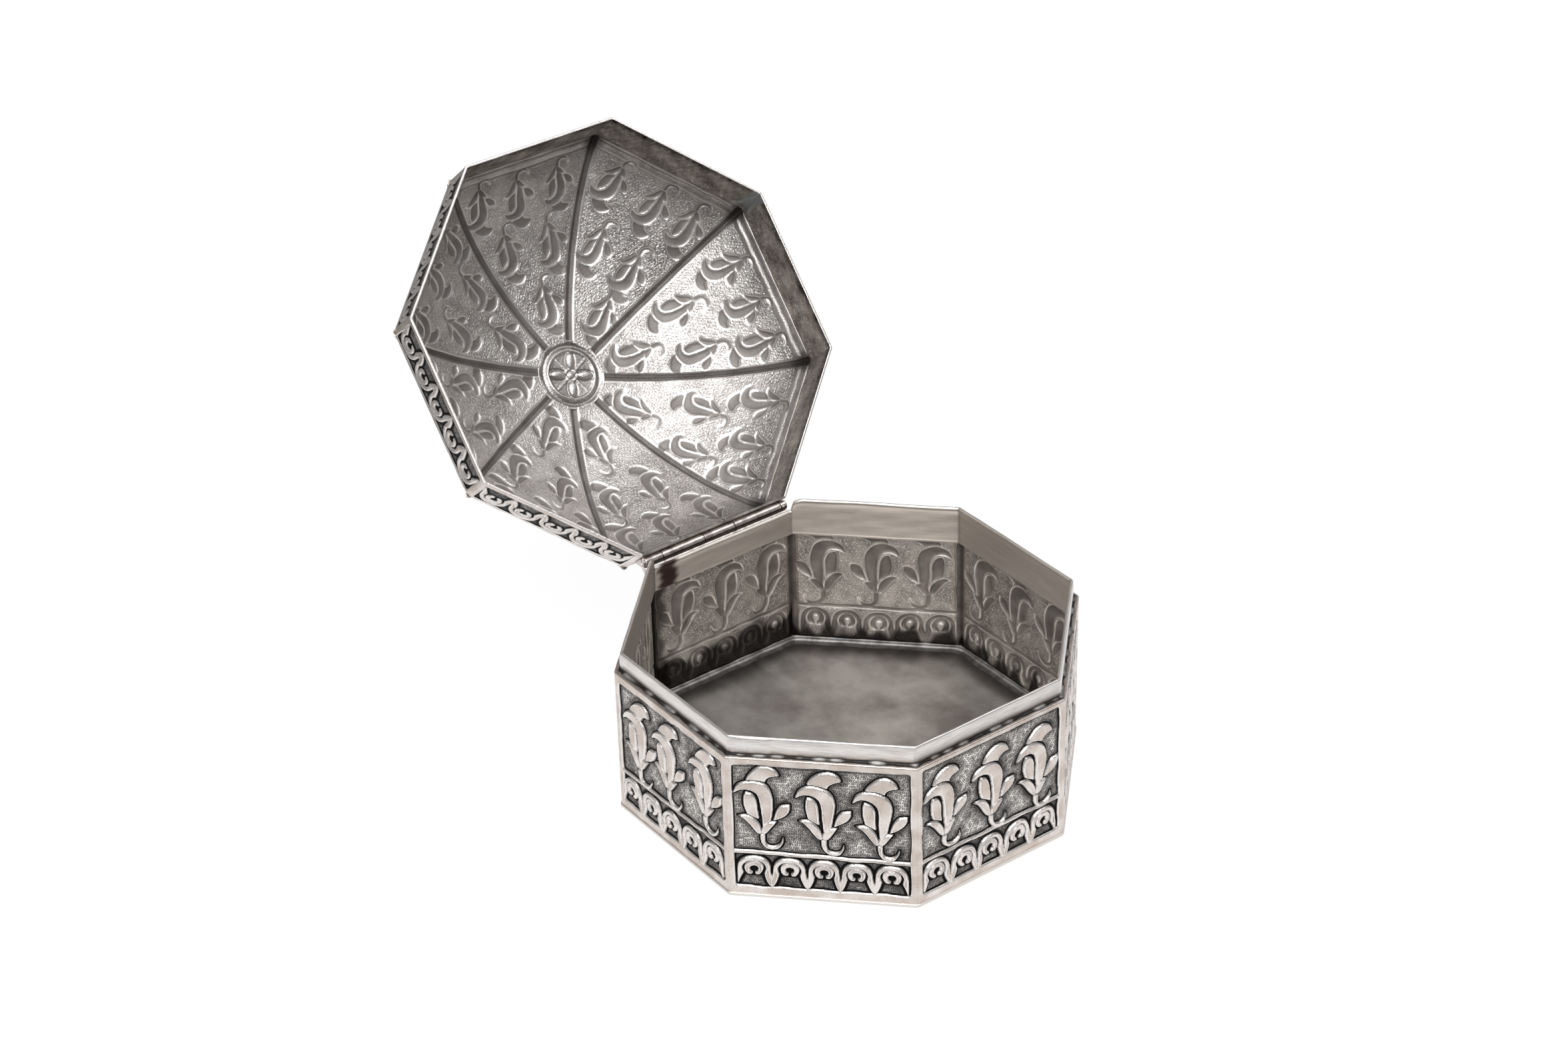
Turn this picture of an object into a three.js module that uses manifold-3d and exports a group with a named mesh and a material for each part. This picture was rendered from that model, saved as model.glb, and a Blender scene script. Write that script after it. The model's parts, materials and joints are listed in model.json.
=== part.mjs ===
// An eight-sided silver box for betel leaf, with a domed lid on a five-knuckle hinge.
// A folded wall stands on a base plate, a plain bezel rises inside its top edge, and the lid
// shuts down over the bezel. The box stands on z = 0, centred on the vertical axis, with its
// hinge on the +Y side, and the lid is shown at its open stop. Lengths are in millimetres.
import * as THREE from "three";
import { mergeVertices } from "three/addons/utils/BufferGeometryUtils.js";
import Module from "manifold-3d";

const wasm = await Module();
wasm.setup();

// Body
const SIDES = 8;
const ACROSS_FLATS = 120;
const BASE_THICKNESS = 1;
const BASE_EDGE_PROUD = 0.3;
const BASE_EDGE_BEVEL = 0.3;
const WALL_HEIGHT = 43.4;
const SOLDER_FILM = 0.1;
const FLOOR_FILLET = 1.2;

// Chased fields sunk into each side of the wall
const FRAME_SIDE = 1.75;
const FRAME_TOP = 2.1;
const FRAME_BOTTOM = 1.8;
const RULE_WIDTH = 1;
const FRIEZE_HEIGHT = 10.7;
const FIELD_DEPTH = 0.5;

// Mango flowers raised in the upper fields, side by side, drawn for a field of this height with
// this much room across for each. Each petal is two curves between its two tips, given from the
// flower's foot as [tip, control, control, tip, control, control].
const FLOWERS_PER_SIDE = 3;
const FLOWER_FIELD_HEIGHT = 27.8;
const FLOWER_ROOM = 15.4;
const FLOWER_ABOVE_RULE = 5;
const FLOWER_TO_LEFT = 0.5;
const PETAL_ROOT = 0.3;
const CREST = [[-3.5, 17.2], [-1.5, 22.4], [5.4, 22.6], [5.2, 18.5], [2.4, 18.3], [3.2, 16.6]];
const HOOK_PETAL = [[-6.8, 12.7], [-4.5, 18.6], [7, 18], [1.6, 2.8], [-1, 10.5], [-0.5, 15.5]];
const ALMOND = [[-3.8, 13], [-1.8, 12.8], [-0.6, 9.5], [-1.7, 5], [-3.6, 6.4], [-5.3, 10.4]];
const LEFT_SEPAL = [[-6, 5.5], [-2.6, 6.4], [-0.8, 3.8], [0, 0], [-2, -1.2], [-2.8, 4.2]];
const RIGHT_SEPAL = [[0.3, -0.2], [0.4, 2.6], [1.8, 3.7], [3.9, 3.6], [2.7, 1.8], [1.9, -0.5]];
const PETALS = [CREST, HOOK_PETAL, ALMOND, LEFT_SEPAL, RIGHT_SEPAL];

// Bezel, the plain strip that the lid shuts over
const BEZEL_THICKNESS = 0.9;
const BEZEL_ABOVE_WALL = 5.6;
const BEZEL_INSIDE_WALL = 6.2;
const BEZEL_BEHIND_HINGE = 2.6;
const BEZEL_SHOULDER = 2;

// Lid
const RIM_HEIGHT = 13;
const RIM_THICKNESS = 0.7;
const RIM_CORNER_BAND = 1.4;
const RIM_EDGE_BAND = 1.5;
const RIM_FIELD_DEPTH = 0.3;
const SEAT_GAP = 0.2;
const SWING_CLEARANCE = 0.15;
const CROWN_RISE = 29;
const CROWN_THICKNESS = 0.8;
const CROWN_STEPS = 12;
const DOME_WIDTH_POWER = 2.4;
const DOME_HEIGHT_POWER = 1.18;

// Ribs over the dome's eight corners, and the round boss at its middle
const RIB_RADIUS = 1.1;
const RIB_HEIGHT = 0.5;
const RIB_GROOVE_DEPTH = 0.35;
const BOSS_OUTER = 9.6;
const BOSS_RING_WIDTH = 2;
const BOSS_HEIGHT = 0.5;
const BOSS_SEGMENTS = 40;

// Hinge
const OPENING_ANGLE = 131.2;
const STOP_GAP_ANGLE = 3;
const PIN_RADIUS = 0.5;
const PIN_PLAY = 0.08;
const KNUCKLE_WALL = 0.6;
const KNUCKLE_TO_WALL = 0.3;
const KNUCKLE_END_GAP = 0.2;
const AXIS_ABOVE_WALL = 1.7;
const KNUCKLE_LENGTHS = [5.9, 14.3, 10.6, 16.1, 2.1];
const BEARER_REACH = 1.2;
const BEARER_HEIGHT = 3.6;
const BODY_STOP_ANGLE = 300;
const BODY_CRADLE_END = 236;
const LID_CRADLE_END = 142;
const HINGE_SEGMENTS = 18;

// Sizes that follow from the driving ones
const HALF_SIDE_ANGLE = Math.PI / SIDES;
const WALL_FACE = ACROSS_FLATS / 2;
const WALL_TOP = BASE_THICKNESS + WALL_HEIGHT;
const KNUCKLE_RADIUS = PIN_RADIUS + PIN_PLAY + KNUCKLE_WALL;
const CRADLE_RADIUS = KNUCKLE_RADIUS + SOLDER_FILM;
const HINGE_Y = WALL_FACE + KNUCKLE_RADIUS + KNUCKLE_TO_WALL;
const HINGE_Z = WALL_TOP + AXIS_ABOVE_WALL;
const RIM_INSIDE = WALL_FACE - RIM_THICKNESS;
const RIM_BOTTOM = WALL_TOP + SEAT_GAP;
const RIM_TOP = WALL_TOP + RIM_HEIGHT;
const RIM_SWING = Math.hypot(HINGE_Y - RIM_INSIDE, HINGE_Z - WALL_TOP);
const BEZEL_OUTSIDE = HINGE_Y - RIM_SWING - SWING_CLEARANCE;
const BEZEL_INSIDE = BEZEL_OUTSIDE - BEZEL_THICKNESS;
const BEZEL_TOP = WALL_TOP + BEZEL_ABOVE_WALL;
const WALL_INSIDE = BEZEL_OUTSIDE + SOLDER_FILM;
const CROWN_BOTTOM = RIM_TOP + SOLDER_FILM;

const degrees = THREE.MathUtils.degToRad;

// Half the length of one side at a given distance from the axis to that side's face.
function halfSide(faceDistance) {
  return faceDistance * Math.tan(HALF_SIDE_ANGLE);
}

// A closed profile of [distance, height] points turned about the upright axis. With eight
// segments the distance is measured to the flat sides, and one side faces -Y.
function turned(profile, segments = SIDES) {
  const toCorner = 1 / Math.cos(Math.PI / segments);
  const points = profile.map(([distance, height]) => new THREE.Vector2(distance * toCorner, height));
  const lathe = new THREE.LatheGeometry(points, segments, Math.PI / segments);
  return lathe.rotateX(Math.PI / 2);
}

function ring(inside, outside, bottom, top) {
  return turned([
    [outside, bottom],
    [outside, top],
    [inside, top],
    [inside, bottom],
    [outside, bottom],
  ]);
}

// An outline of [y, z] points pushed along X from one end to the other.
function bar(outline, fromX, toX) {
  const shape = new THREE.Shape(outline.map(([y, z]) => new THREE.Vector2(y, z)));
  const solid = new THREE.ExtrudeGeometry(shape, { depth: toX - fromX, bevelEnabled: false });
  const columns = new THREE.Matrix4().set(0, 0, 1, fromX, 1, 0, 0, 0, 0, 1, 0, 0, 0, 0, 0, 1);
  return solid.applyMatrix4(columns);
}

function solidOf(geometry) {
  const bare = geometry.index ? geometry.toNonIndexed() : geometry.clone();
  bare.deleteAttribute("normal");
  bare.deleteAttribute("uv");
  const merged = mergeVertices(bare, 1e-4);
  return new wasm.Manifold(
    new wasm.Mesh({
      numProp: 3,
      vertProperties: merged.attributes.position.array,
      triVerts: new Uint32Array(merged.index.array),
    }),
  );
}

function geometryOf(solid) {
  const mesh = solid.getMesh();
  const geometry = new THREE.BufferGeometry();
  geometry.setAttribute("position", new THREE.BufferAttribute(new Float32Array(mesh.vertProperties), 3));
  geometry.setIndex(new THREE.BufferAttribute(new Uint32Array(mesh.triVerts), 1));
  geometry.computeVertexNormals();
  return geometry;
}

// A solid with some others cut out of it and then some added.
function worked(geometry, cutters, pads = []) {
  let solid = solidOf(geometry);
  for (const cutter of cutters) solid = solid.subtract(solidOf(cutter));
  for (const pad of pads) solid = solid.add(solidOf(pad));
  return geometryOf(solid);
}

// A rectangular pocket in the outer face of one side, from one height to another.
function sidePocket(side, halfWidth, bottom, top, face, depth) {
  const outward = 1;
  const pocket = new THREE.BoxGeometry(2 * halfWidth, depth + outward, top - bottom);
  pocket.translate(0, -(face + (outward - depth) / 2), (bottom + top) / 2);
  return pocket.rotateZ((side * 2 * Math.PI) / SIDES);
}

// One petal of a flower whose foot stands in a sunk field. It rises from the field's floor to
// the wall's face.
function petalPad(side, petal, footX, footZ, size) {
  const [tip, out1, out2, otherTip, back1, back2] = petal.map(([x, z]) => [footX + x * size, footZ + z * size]);
  const shape = new THREE.Shape();
  shape.moveTo(...tip);
  shape.bezierCurveTo(...out1, ...out2, ...otherTip);
  shape.bezierCurveTo(...back1, ...back2, ...tip);
  const depth = FIELD_DEPTH + PETAL_ROOT;
  const pad = new THREE.ExtrudeGeometry(shape, { depth, bevelEnabled: false, curveSegments: 3 });
  pad.rotateX(Math.PI / 2).translate(0, depth - WALL_FACE, 0);
  return pad.rotateZ((side * 2 * Math.PI) / SIDES);
}

// The row of flowers in one side's upper field, drawn smaller where the field is small.
function flowerRow(side, halfWidth, fieldBottom, fieldTop) {
  const pitch = (2 * halfWidth) / FLOWERS_PER_SIDE;
  const size = Math.min((fieldTop - fieldBottom) / FLOWER_FIELD_HEIGHT, pitch / FLOWER_ROOM);
  const pads = [];
  for (let i = 0; i < FLOWERS_PER_SIDE; i++) {
    const footX = (i - (FLOWERS_PER_SIDE - 1) / 2) * pitch - FLOWER_TO_LEFT;
    const footZ = fieldBottom + FLOWER_ABOVE_RULE * size;
    for (const petal of PETALS) pads.push(petalPad(side, petal, footX, footZ, size));
  }
  return pads;
}

const brightSilver = { color: 0xc9c2bc, roughness: 0.32, metalness: 1 };
const chasedSilver = { color: 0xb3aca6, roughness: 0.42, metalness: 1 };
const greySilver = { color: 0x8c8580, roughness: 0.48, metalness: 1 };
const hingeSilver = { color: 0xa8a19b, roughness: 0.25, metalness: 1 };
const solderGrey = { color: 0x9a9a99, roughness: 0.5, metalness: 1 };

function piece(name, geometry, finish) {
  const mesh = new THREE.Mesh(geometry, new THREE.MeshStandardMaterial(finish));
  mesh.name = name;
  return mesh;
}

// Flat octagonal plate under the wall. Its bevelled edge shows as a thin line round the foot.
function basePlate() {
  const edge = WALL_FACE + BASE_EDGE_PROUD;
  const bevel = Math.min(BASE_EDGE_BEVEL, BASE_THICKNESS / 3);
  return turned([
    [0, 0],
    [edge - bevel, 0],
    [edge, bevel],
    [edge, BASE_THICKNESS - bevel],
    [edge - bevel, BASE_THICKNESS],
    [0, BASE_THICKNESS],
  ]);
}

// One strip of sheet folded into eight sides. Each side has a frieze and an upper field sunk
// into it, and three flowers stand up in the upper field.
function bodyWall() {
  const halfWidth = halfSide(WALL_FACE) - FRAME_SIDE;
  const friezeBottom = BASE_THICKNESS + FRAME_BOTTOM;
  const friezeTop = friezeBottom + FRIEZE_HEIGHT;
  const fieldBottom = friezeTop + RULE_WIDTH;
  const fieldTop = WALL_TOP - FRAME_TOP;
  const pockets = [];
  const flowers = [];
  for (let side = 0; side < SIDES; side++) {
    pockets.push(sidePocket(side, halfWidth, friezeBottom, friezeTop, WALL_FACE, FIELD_DEPTH));
    pockets.push(sidePocket(side, halfWidth, fieldBottom, fieldTop, WALL_FACE, FIELD_DEPTH));
    flowers.push(...flowerRow(side, halfWidth, fieldBottom, fieldTop));
  }
  return worked(ring(WALL_INSIDE, WALL_FACE, BASE_THICKNESS, WALL_TOP), pockets, flowers);
}

// Fillet of solder in the angle between the floor and the wall.
function floorSolder() {
  return turned([
    [WALL_INSIDE, BASE_THICKNESS],
    [WALL_INSIDE, BASE_THICKNESS + FLOOR_FILLET],
    [WALL_INSIDE - FLOOR_FILLET * 0.4, BASE_THICKNESS + FLOOR_FILLET * 0.4],
    [WALL_INSIDE - FLOOR_FILLET, BASE_THICKNESS],
    [WALL_INSIDE, BASE_THICKNESS],
  ]);
}

// Plain strip inside the wall's top edge, cut low behind the hinge between two round shoulders.
function bezel() {
  const bottom = WALL_TOP - BEZEL_INSIDE_WALL;
  const low = WALL_TOP + BEZEL_BEHIND_HINGE;
  const above = BEZEL_TOP + 1;
  const halfCut = halfSide(BEZEL_OUTSIDE);
  const radius = Math.min(BEZEL_SHOULDER, BEZEL_TOP - low);
  const notch = new THREE.Shape();
  notch.moveTo(-halfCut, low);
  notch.lineTo(halfCut, low);
  notch.lineTo(halfCut, BEZEL_TOP - radius);
  notch.absarc(halfCut + radius, BEZEL_TOP - radius, radius, Math.PI, Math.PI / 2, true);
  notch.lineTo(halfCut + radius, above);
  notch.lineTo(-halfCut - radius, above);
  notch.lineTo(-halfCut - radius, BEZEL_TOP);
  notch.absarc(-halfCut - radius, BEZEL_TOP - radius, radius, Math.PI / 2, 0, true);
  const depth = WALL_FACE / 2;
  const cutter = new THREE.ExtrudeGeometry(notch, { depth, bevelEnabled: false, curveSegments: 5 });
  cutter.rotateX(Math.PI / 2).translate(0, WALL_FACE + 1, 0);
  return worked(ring(BEZEL_INSIDE, BEZEL_OUTSIDE, bottom, BEZEL_TOP), [cutter]);
}

// Upright band round the lid, with one sunk frieze on each side.
function lidRim() {
  const halfWidth = halfSide(WALL_FACE) - RIM_CORNER_BAND;
  const pockets = [];
  for (let side = 0; side < SIDES; side++) {
    pockets.push(
      sidePocket(side, halfWidth, RIM_BOTTOM + RIM_EDGE_BAND, RIM_TOP - RIM_EDGE_BAND, WALL_FACE, RIM_FIELD_DEPTH),
    );
  }
  return worked(ring(RIM_INSIDE, WALL_FACE, RIM_BOTTOM, RIM_TOP), pockets);
}

// Height of the dome over its foot at a distance from the axis, both measured to the flat
// sides: a superellipse that is fuller at its haunch than a circle's arc.
function domeHeight(distance, reach, rise) {
  const share = Math.min(distance / reach, 1);
  return rise * (1 - share ** DOME_WIDTH_POWER) ** (1 / DOME_HEIGHT_POWER);
}

// Points of the dome's curve as [distance, height], from its foot to the axis, closer together
// at the foot, where the curve turns most.
function domeCurve(reach, rise, steps, nearest = 0) {
  const points = [];
  for (let i = 0; i <= steps; i++) {
    const distance = nearest + (reach - nearest) * Math.cos((i / steps) * (Math.PI / 2));
    points.push([distance, CROWN_BOTTOM + domeHeight(distance, reach, rise)]);
  }
  points[steps][0] = nearest;
  return points;
}

// A round bar laid along one corner line of the dome, its middle sunk below the line.
function ribBar(corner, reach, rise, barRadius, sunk) {
  const turn = (corner + 0.5) * 2 * HALF_SIDE_ANGLE;
  const toCorner = 1 / Math.cos(HALF_SIDE_ANGLE);
  const nearest = BOSS_OUTER - BOSS_RING_WIDTH / 2;
  const path = domeCurve(reach - sunk, rise - sunk, CROWN_STEPS, nearest).map(
    ([distance, height]) =>
      new THREE.Vector3(distance * toCorner * Math.cos(turn), distance * toCorner * Math.sin(turn), height),
  );
  const section = new THREE.Shape().absarc(0, 0, barRadius, 0, 2 * Math.PI);
  return new THREE.ExtrudeGeometry(section, {
    extrudePath: new THREE.CatmullRomCurve3(path),
    steps: CROWN_STEPS,
    curveSegments: 4,
    bevelEnabled: false,
  });
}

// Eight curved gores in one sheet, ribs pressed out along their joins, and a round boss at the top.
function lidCrown() {
  const insideReach = WALL_FACE - CROWN_THICKNESS;
  const insideRise = CROWN_RISE - CROWN_THICKNESS;
  const outer = domeCurve(WALL_FACE, CROWN_RISE, CROWN_STEPS);
  const inner = domeCurve(insideReach, insideRise, CROWN_STEPS);
  let crown = solidOf(turned([...outer, ...inner.reverse(), outer[0]]));
  for (let corner = 0; corner < SIDES; corner++) {
    const rib = ribBar(corner, WALL_FACE, CROWN_RISE, RIB_RADIUS, RIB_RADIUS - RIB_HEIGHT);
    const groove = ribBar(corner, insideReach, insideRise, RIB_RADIUS, RIB_RADIUS - RIB_GROOVE_DEPTH);
    crown = crown.add(solidOf(rib)).subtract(solidOf(groove));
  }
  const ringMiddle = BOSS_OUTER - BOSS_RING_WIDTH / 2;
  const ringInside = BOSS_OUTER - BOSS_RING_WIDTH;
  const sheetTop = CROWN_BOTTOM + domeHeight(BOSS_OUTER, WALL_FACE, CROWN_RISE);
  const top = CROWN_BOTTOM + CROWN_RISE;
  const boss = turned(
    [
      [0, top - CROWN_THICKNESS],
      [BOSS_OUTER, sheetTop - CROWN_THICKNESS / 2],
      [BOSS_OUTER, sheetTop + BOSS_HEIGHT / 2],
      [ringMiddle, sheetTop + BOSS_HEIGHT],
      [ringInside, sheetTop + BOSS_HEIGHT / 2],
      [0, top + BOSS_HEIGHT / 2],
    ],
    BOSS_SEGMENTS,
  );
  const trim = solidOf(
    turned([
      [0, CROWN_BOTTOM],
      [WALL_FACE, CROWN_BOTTOM],
      [WALL_FACE, top + 2 * BOSS_HEIGHT],
      [0, top + 2 * BOSS_HEIGHT],
    ]),
  );
  return geometryOf(crown.add(solidOf(boss)).intersect(trim));
}

// A point at a distance and angle from the hinge axis, seen along -X with +Y to the right.
function fromAxis(distance, angle) {
  return [HINGE_Y + distance * Math.cos(degrees(angle)), HINGE_Z + distance * Math.sin(degrees(angle))];
}

function cradle(fromAngle, toAngle, steps = 5) {
  const points = [];
  for (let i = 0; i <= steps; i++) {
    points.push(fromAxis(CRADLE_RADIUS, fromAngle + ((toAngle - fromAngle) * i) / steps));
  }
  return points;
}

const HINGE_HALF_LENGTH = KNUCKLE_LENGTHS.reduce((sum, length) => sum + length, 0) / 2;

// Bar soldered to the back of the wall. The body's knuckles lie in its hollow top, and its
// outer flank is the stop that the lid's bar meets when the lid is open.
function bodyBearer() {
  const outline = [
    [WALL_FACE, HINGE_Z - CRADLE_RADIUS - BEARER_HEIGHT],
    fromAxis(CRADLE_RADIUS + BEARER_REACH, BODY_STOP_ANGLE),
    ...cradle(BODY_STOP_ANGLE, BODY_CRADLE_END),
    [WALL_FACE + SWING_CLEARANCE, WALL_TOP],
    [WALL_FACE, WALL_TOP],
  ];
  return bar(outline, -HINGE_HALF_LENGTH, HINGE_HALF_LENGTH);
}

// Bar soldered to the back of the lid's rim, which holds the lid's knuckles.
function lidBearer() {
  const face = WALL_FACE + SOLDER_FILM;
  const stopAngle = BODY_STOP_ANGLE + OPENING_ANGLE + STOP_GAP_ANGLE - 360;
  const [, startZ] = fromAxis(CRADLE_RADIUS, LID_CRADLE_END);
  const outline = [
    [face, startZ],
    ...cradle(LID_CRADLE_END, stopAngle),
    fromAxis(CRADLE_RADIUS + BEARER_REACH, stopAngle),
    [face, HINGE_Z + CRADLE_RADIUS + BEARER_HEIGHT],
  ];
  return bar(outline.reverse(), -HINGE_HALF_LENGTH, HINGE_HALF_LENGTH);
}

// A round bar or tube along the hinge axis.
function alongHinge(profile, middleX) {
  const toFlat = 1 / Math.cos(Math.PI / HINGE_SEGMENTS);
  const points = profile.map(([radius, length]) => new THREE.Vector2(radius * toFlat, length));
  const turnedBar = new THREE.LatheGeometry(points, HINGE_SEGMENTS);
  return turnedBar.rotateZ(-Math.PI / 2).translate(middleX, HINGE_Y, HINGE_Z);
}

function knuckle(index) {
  const before = KNUCKLE_LENGTHS.slice(0, index).reduce((sum, length) => sum + length, 0);
  const middle = before + KNUCKLE_LENGTHS[index] / 2 - HINGE_HALF_LENGTH;
  const half = (KNUCKLE_LENGTHS[index] - KNUCKLE_END_GAP) / 2;
  const bore = PIN_RADIUS + PIN_PLAY;
  const flat = Math.cos(Math.PI / HINGE_SEGMENTS);
  const outside = KNUCKLE_RADIUS * flat;
  const tube = [
    [outside, -half],
    [outside, half],
    [bore, half],
    [bore, -half],
    [outside, -half],
  ];
  return alongHinge(tube, middle);
}

function hingePin() {
  const half = HINGE_HALF_LENGTH;
  const radius = PIN_RADIUS * Math.cos(Math.PI / HINGE_SEGMENTS);
  return alongHinge(
    [
      [0, -half],
      [radius, -half],
      [radius, half],
      [0, half],
    ],
    0,
  );
}

const body = new THREE.Group();
body.add(piece("base_plate", basePlate(), greySilver));
body.add(piece("body_wall", bodyWall(), chasedSilver));
body.add(piece("floor_solder", floorSolder(), solderGrey));
body.add(piece("bezel", bezel(), brightSilver));
body.add(piece("body_hinge_bearer", bodyBearer(), hingeSilver));
body.add(piece("hinge_pin", hingePin(), hingeSilver));
body.add(piece("body_knuckle_left", knuckle(0), hingeSilver));
body.add(piece("body_knuckle_middle", knuckle(2), hingeSilver));
body.add(piece("body_knuckle_right", knuckle(4), hingeSilver));

const lid = new THREE.Group();
lid.add(piece("lid_rim", lidRim(), chasedSilver));
lid.add(piece("lid_crown", lidCrown(), chasedSilver));
lid.add(piece("lid_hinge_bearer", lidBearer(), hingeSilver));
lid.add(piece("lid_knuckle_left", knuckle(1), hingeSilver));
lid.add(piece("lid_knuckle_right", knuckle(3), hingeSilver));
lid.position.set(0, -HINGE_Y, -HINGE_Z);

// The lid turns about the hinge axis, backwards to its open stop.
const lidOnHinge = new THREE.Group();
lidOnHinge.position.set(0, HINGE_Y, HINGE_Z);
lidOnHinge.rotation.x = -degrees(OPENING_ANGLE);
lidOnHinge.add(lid);

const box = new THREE.Group();
box.add(body, lidOnHinge);

export default box;
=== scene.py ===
import json
import math

import bpy
import numpy as np
from mathutils import Matrix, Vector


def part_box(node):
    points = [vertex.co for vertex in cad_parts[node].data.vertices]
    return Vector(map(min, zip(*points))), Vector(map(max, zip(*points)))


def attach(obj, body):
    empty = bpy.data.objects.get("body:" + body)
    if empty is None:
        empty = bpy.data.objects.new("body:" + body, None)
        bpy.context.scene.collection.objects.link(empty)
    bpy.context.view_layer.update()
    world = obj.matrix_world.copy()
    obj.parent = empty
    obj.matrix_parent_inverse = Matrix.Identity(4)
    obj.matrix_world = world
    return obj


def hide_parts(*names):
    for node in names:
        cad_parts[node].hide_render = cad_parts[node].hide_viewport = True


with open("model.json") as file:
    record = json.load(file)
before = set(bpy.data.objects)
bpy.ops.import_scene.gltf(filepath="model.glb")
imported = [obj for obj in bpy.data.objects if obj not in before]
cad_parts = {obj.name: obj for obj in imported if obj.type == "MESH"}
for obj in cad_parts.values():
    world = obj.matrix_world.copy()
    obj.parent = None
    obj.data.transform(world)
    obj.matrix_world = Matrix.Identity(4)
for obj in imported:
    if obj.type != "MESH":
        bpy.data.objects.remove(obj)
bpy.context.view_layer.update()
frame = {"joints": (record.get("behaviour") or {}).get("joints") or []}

MM = 0.001

# Camera
# A long lens looks down into the open box from its left front, as in the photograph, which is
# 2353 pixels wide. Lengths are in metres and angles in degrees.
PHOTO_WIDTH_PX = 2353
FOCAL_LENGTH_PX = 5221.3
SENSOR_WIDTH_MM = 36
CAMERA_TARGET = (-0.020924, 0, 0.087713)
CAMERA_DISTANCE = 0.903153
CAMERA_AZIMUTH = -36.19
CAMERA_ELEVATION = 31.981
CAMERA_ROLL = -1.534


def from_direction(azimuth, elevation):
    """Unit vector towards a direction: azimuth 0 is -Y, 90 is +X, and elevation is above the floor."""
    a, e = math.radians(azimuth), math.radians(elevation)
    return np.array([math.sin(a) * math.cos(e), -math.cos(a) * math.cos(e), math.sin(e)])


def facing(place, back, roll=0.0):
    """Matrix of a camera or lamp at place that looks along -back, its X axis level but for the roll."""
    right = np.cross((0, 0, 1), back)
    right /= np.linalg.norm(right)
    up = np.cross(back, right)
    c, s = math.cos(math.radians(roll)), math.sin(math.radians(roll))
    matrix = np.eye(4)
    matrix[:3, 0], matrix[:3, 1] = c * right + s * up, c * up - s * right
    matrix[:3, 2], matrix[:3, 3] = back, place
    return Matrix(matrix.tolist())


camera = bpy.data.objects.new("camera", bpy.data.cameras.new("camera"))
bpy.context.scene.collection.objects.link(camera)
camera.data.sensor_width = SENSOR_WIDTH_MM
camera.data.lens = FOCAL_LENGTH_PX / PHOTO_WIDTH_PX * SENSOR_WIDTH_MM
camera_back = from_direction(CAMERA_AZIMUTH, CAMERA_ELEVATION)
camera_place = np.array(CAMERA_TARGET) + CAMERA_DISTANCE * camera_back
camera.matrix_world = facing(camera_place, camera_back, CAMERA_ROLL)
bpy.context.scene.camera = camera
bpy.context.scene.view_settings.view_transform = "Standard"

# Stage
# A white sweep under the box, in a studio whose grey walls are lighter at the left and unlit round
# the camera. The sweep is plain white to the camera and keeps a faint shadow. To polished metal it
# is white near the box and greyer further off.
FLOOR_HALF = 3.0
FLOOR_COLOUR = "#DADADA"
PAPER_WHITE = 1.08
SHADOW_SHARE = 0.12
STUDIO_BRIGHT, STUDIO_DARK = 0.5, 0.16
BRIGHT_WALL = (-50, 40)
CAMERA_SIDE = (-12, 4)
CAMERA_SIDE_LEVEL = 0.12
PAPER_NEAR, PAPER_FAR, PAPER_FAR_LEVEL = 0.16, 0.32, 0.3


def linear(colour):
    """Linear RGBA of an sRGB hex colour."""
    parts = np.array([int(colour[i:i + 2], 16) / 255 for i in (1, 3, 5)])
    low, high = parts / 12.92, ((parts + 0.055) / 1.055) ** 2.4
    return (*np.where(parts <= 0.04045, low, high).tolist(), 1.0)


def add_node(tree, kind, inputs=None, **settings):
    """Adds a node with its settings. inputs maps a socket's name or number to a value or to the
    output socket that feeds it."""
    added = tree.nodes.new(kind)
    for name, value in settings.items():
        setattr(added, name, value)
    for socket, value in (inputs or {}).items():
        if isinstance(value, bpy.types.NodeSocket):
            tree.links.new(value, added.inputs[socket])
        else:
            added.inputs[socket].default_value = value
    return added


floor_mesh = bpy.data.meshes.new("floor")
floor_corners = [(-FLOOR_HALF, -FLOOR_HALF, 0), (FLOOR_HALF, -FLOOR_HALF, 0),
                 (FLOOR_HALF, FLOOR_HALF, 0), (-FLOOR_HALF, FLOOR_HALF, 0)]
floor_mesh.from_pydata(floor_corners, [], [(0, 1, 2, 3)])
floor = bpy.data.objects.new("floor", floor_mesh)
bpy.context.scene.collection.objects.link(floor)

sweep = bpy.data.materials.new("white_paper_sweep")
sweep.use_nodes = True
tree = sweep.node_tree
tree.nodes.clear()
rays = add_node(tree, "ShaderNodeLightPath")
paper = add_node(tree, "ShaderNodeBsdfDiffuse", {"Color": linear(FLOOR_COLOUR)})
place = add_node(tree, "ShaderNodeTexCoord").outputs["Object"]
from_box = add_node(tree, "ShaderNodeVectorMath", {0: place}, operation="LENGTH")
mirror_level = add_node(tree, "ShaderNodeMapRange", {
    "Value": from_box.outputs["Value"], "From Min": PAPER_NEAR, "From Max": PAPER_FAR,
    "To Min": 1.0, "To Max": PAPER_FAR_LEVEL})
paper_level = add_node(tree, "ShaderNodeMix", {0: rays.outputs["Is Glossy Ray"], 2: PAPER_WHITE,
                                               3: mirror_level.outputs[0]}, data_type="FLOAT")
white = add_node(tree, "ShaderNodeEmission", {"Strength": paper_level.outputs[0]})
seen = add_node(tree, "ShaderNodeMath", {0: rays.outputs["Is Camera Ray"],
                                         1: rays.outputs["Is Glossy Ray"]}, operation="MAXIMUM")
seen = add_node(tree, "ShaderNodeMath", {0: seen.outputs[0], 1: 1 - SHADOW_SHARE}, operation="MULTIPLY")
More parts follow.
